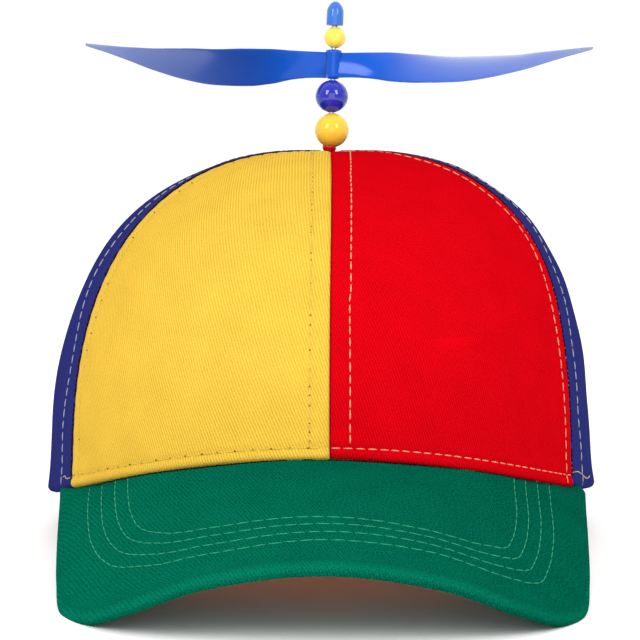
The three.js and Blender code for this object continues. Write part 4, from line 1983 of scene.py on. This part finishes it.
@dataclass
class Propeller:
    """The two-bladed propeller with its hub.

    The blade's table gives, out along the blade, the reach, the chord, the pitch in degrees and the
    lift above the hub's middle. The hub's tables give radius, and depth below its top or height above
    its bottom. The blade is in millimetres, the hub in metres.
    """

    level: LevelFrame
    yaw: float = math.radians(-15)
    hub_bottom: float = 0.0232
    hub_height: float = 0.0092
    bore: float = 0.0011
    thickness: float = 0.001
    camber: float = 0.05
    # The hub's share of the blade finish's painted reflection, as a place along its flat coordinate.
    hub_painted_reflection: float = 0.14
    hub_steps: int = 48
    hub_collar: tuple[tuple[float, float], ...] = (
        (0.0022, 0.0),
        (0.00245, 0.00015),
        (0.00255, 0.0004),
        (0.0025, 0.001),
        (0.0024, 0.0025),
    )
    hub_taper: tuple[tuple[float, float], ...] = (
        (0.0024, 0.0017),
        (0.00232, 0.0011),
        (0.002, 0.0004),
        (0.0017, 0.0001),
        (0.0014, 0.0),
    )
    columns: int = 150
    around: int = 32
    thin_share: float = 0.6
    edge_power: float = 0.6
    blade_table: tuple[tuple[float, float, float, float], ...] = (
        (1.7, 8.3, 78, 0.0),
        (8, 8.6, 74, 0.1),
        (15, 10.3, 62, -0.1),
        (22, 14.6, 44, -0.6),
        (30, 18.9, 33, -1.0),
        (37, 19.6, 30.5, -1.1),
        (44, 19.4, 30, -0.8),
        (52, 16.2, 31, 0.0),
        (60, 11.4, 34, 1.2),
        (68, 6.0, 44, 2.9),
        (76, 2.8, 50, 4.6),
        (83.2, 0.9, 50, 6.0),
    )

    def place(self, across: np.ndarray, up: np.ndarray) -> tuple[np.ndarray, np.ndarray]:
        """Gives a blade's grid its shape.

        Args:
            across: shares out along the blade.
            up: shares around its section.
        Returns:
            The points and the flat coordinates.
        """
        table = np.array(self.blade_table)
        reach = lerp(table[0, 0], table[-1, 0], across)
        chord, pitch, lift = [smooth_through(reach, table[:, 0], table[:, i]) for i in (1, 2, 3)]
        turn = math.tau * up
        width = chord / 2 * np.cos(turn)
        thick = np.minimum(self.thickness * MM_PER_METRE, chord * self.thin_share) / 2
        rise = thick * np.sign(np.sin(turn)) * np.abs(np.sin(turn)) ** self.edge_power
        rise = rise + self.camber * chord * (1 - np.cos(turn) ** 2)
        slant = np.radians(pitch)
        middle = self.level.HUB_MIDDLE * MM_PER_METRE
        points = np.stack(
            [
                reach,
                width * np.cos(slant) - rise * np.sin(slant),
                middle + lift + width * np.sin(slant) + rise * np.cos(slant),
            ],
            -1,
        )
        # The share out along the blade is the flat coordinate that sets its painted reflection.
        return points / MM_PER_METRE, np.stack([across, up], -1)

    def hub(self) -> BMesh:
        """Shapes the hub: a tube with a collar above and a taper below.

        Returns:
            The mesh.
        """
        low, high = self.hub_bottom, self.hub_bottom + self.hub_height
        section = [(self.bore, low), (self.bore, high)]
        section += [(radius, high - depth) for radius, depth in self.hub_collar]
        section += [(radius, low + height) for radius, height in self.hub_taper]
        return turned(section, self.hub_steps, True)

    def build(self) -> bpy.types.Object:
        """Makes the propeller: the hub, a blade, and the blade turned half around.

        Returns:
            The piece.
        """
        bm = self.hub()
        layer = bm.loops.layers.uv.new(CLOTH)
        for face in bm.faces:
            for corner in face.loops:
                corner[layer].uv = (self.hub_painted_reflection, 0.0)
        mesh = bpy.data.meshes.new("blade")
        blade = mapped_sheet(self.columns, self.around, self.place, closed=True)
        soften(blade)
        half_turn = Matrix.Rotation(math.pi, 3, "Z")
        for _ in range(2):
            blade.to_mesh(mesh)
            bm.from_mesh(mesh)
            bmesh.ops.rotate(blade, verts=blade.verts, cent=(0, 0, 0), matrix=half_turn)
        blade.free()
        bpy.data.meshes.remove(mesh)
        seat = self.level.stack @ Matrix.Rotation(self.yaw, 4, "Z")
        bmesh.ops.transform(bm, matrix=seat, verts=bm.verts)
        return shown("blades", bm, Finish.BLADE_PLASTIC, "propeller", "propeller")


@dataclass
class Studio:
    """The camera, the lights, the white surroundings and the floor.

    The lamps hang on a ball around the aim, turned to the side and lifted by angles in degrees.
    """

    level: LevelFrame
    lens: float = 178.0
    camera_distance: float = 1.0
    camera_height: float = 0.0845
    front_light: float = 0.5
    back_light: float = 1.5
    softbox_power: float = 8.5
    fill_power: float = 7.0
    fill_size: float = 1.0
    softbox_width: float = 0.36
    softbox_height: float = 0.62
    softbox_distance: float = 1.2
    softbox_turn: float = 36.0
    softbox_lift: float = 28.0
    fill_lift: float = -2.0
    aim: tuple[float, float, float] = (0.0, -0.03, 0.08)
    glow_power: float = 0.012
    glow_size: float = 0.09
    glow_place: tuple[float, float, float] = (0.0, -0.045, 0.085)
    glow_colour: tuple[float, float, float] = (1.0, 0.3, 0.12)
    sensor: float = 36.0
    front_end: float = -0.7
    back_end: float = 0.4
    floor_size: float = 8.0
    floor_shade: float = 0.93
    floor_roughness: float = 0.9
    floor_specular: float = 0.1

    def camera(self) -> None:
        """Stands the camera in front of the cap."""
        data = bpy.data.cameras.new("camera")
        data.lens = self.lens
        data.sensor_width = self.sensor
        camera = bpy.data.objects.new("camera", data)
        bpy.context.scene.collection.objects.link(camera)
        place = self.level.point(0.0, -self.camera_distance, self.camera_height)
        ahead = Matrix.Rotation(math.pi / 2 - self.level.LEAN, 4, "X")
        camera.matrix_world = Matrix.Translation(place) @ ahead
        bpy.context.scene.camera = camera

    def lights(self) -> None:
        """Hangs the softboxes and the front light, and lights the rest."""
        aim = self.level.point(*self.aim)
        box = (self.softbox_lift, self.softbox_power, self.softbox_width, self.softbox_height)
        lamps = (
            ("softbox_left", -self.softbox_turn, *box),
            ("softbox_right", self.softbox_turn, *box),
            ("front_fill", 0.0, self.fill_lift, self.fill_power, self.fill_size, self.fill_size),
        )
        for name, turn, lift, power, width, height in lamps:
            data = bpy.data.lights.new(name, "AREA")
            data.shape = "RECTANGLE"
            data.energy = power
            data.size = width
            data.size_y = height
            light = bpy.data.objects.new(name, data)
            bpy.context.scene.collection.objects.link(light)
            raised = Matrix.Rotation(math.radians(-lift), 3, "X")
            swing = Matrix.Rotation(math.radians(turn), 3, "Z") @ raised
            place = aim + self.level.direction(*(swing @ Vector((0.0, -self.softbox_distance, 0.0))))
            aimed = (aim - place).to_track_quat("-Z", "Y").to_matrix().to_4x4()
            light.matrix_world = Matrix.Translation(place) @ aimed
        self.glow()
        self.surroundings()

    def glow(self) -> None:
        """Hangs a faint warm light inside the crown, for what shines through the front panels."""
        data = bpy.data.lights.new("cloth_glow", "AREA")
        data.energy = self.glow_power
        data.size = self.glow_size
        data.color = self.glow_colour
        light = bpy.data.objects.new("cloth_glow", data)
        bpy.context.scene.collection.objects.link(light)
        light.location = self.level.point(*self.glow_place)

    def surroundings(self) -> None:
        """Surrounds the cap with white, brighter behind it than in front."""
        world = bpy.data.worlds.new("surroundings")
        world.use_nodes = True
        nodes, links = world.node_tree.nodes, world.node_tree.links
        facing = nodes.new("ShaderNodeSeparateXYZ")
        links.new(nodes.new("ShaderNodeTexCoord").outputs["Generated"], facing.inputs[0])
        spread = nodes.new("ShaderNodeMapRange")
        spread.interpolation_type = "SMOOTHSTEP"
        ends = {
            "From Min": self.front_end,
            "From Max": self.back_end,
            "To Min": self.front_light,
            "To Max": self.back_light,
        }
        for key, value in ends.items():
            spread.inputs[key].default_value = value
        links.new(facing.outputs["Y"], spread.inputs[0])
        links.new(spread.outputs[0], nodes["Background"].inputs["Strength"])
        nodes["Background"].inputs["Color"].default_value = (1, 1, 1, 1)
        bpy.context.scene.world = world
        bpy.context.scene.view_settings.view_transform = "Standard"

    def floor(self) -> None:
        """Lays the white floor."""
        bm = bmesh.new()
        bmesh.ops.create_grid(bm, x_segments=1, y_segments=1, size=self.floor_size)
        mesh = bpy.data.meshes.new("floor")
        bm.to_mesh(mesh)
        bm.free()
        shade = self.floor_shade
        paint = {
            "Base Color": (shade, shade, shade, 1),
            "Roughness": self.floor_roughness,
            "Specular IOR Level": self.floor_specular,
        }
        mesh.materials.append(Graph("floor").dress(paint))
        floor = bpy.data.objects.new("floor", mesh)
        bpy.context.scene.collection.objects.link(floor)


def main() -> None:
    """Builds the cap and its studio."""
    logging.basicConfig(level=logging.INFO, format="%(message)s")
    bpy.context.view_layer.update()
    level = LevelFrame(frame["joints"][0])
    crown = Crown()
    arch = Arch()
    studio = Studio(level)
    studio.camera()
    pieces = CrownSewing(level, crown, arch).build()
    pieces += Binding(level, crown, arch).build()
    pieces += Strap(level, crown, arch).build()
    pieces += Peak(level, crown).build()
    pieces += Stack(level).build()
    pieces.append(Propeller(level).build())
    for piece in pieces:
        LOG.info("%s: %d faces", piece.name, len(piece.data.polygons))
    studio.lights()
    studio.floor()


if __name__ == "__main__":
    main()
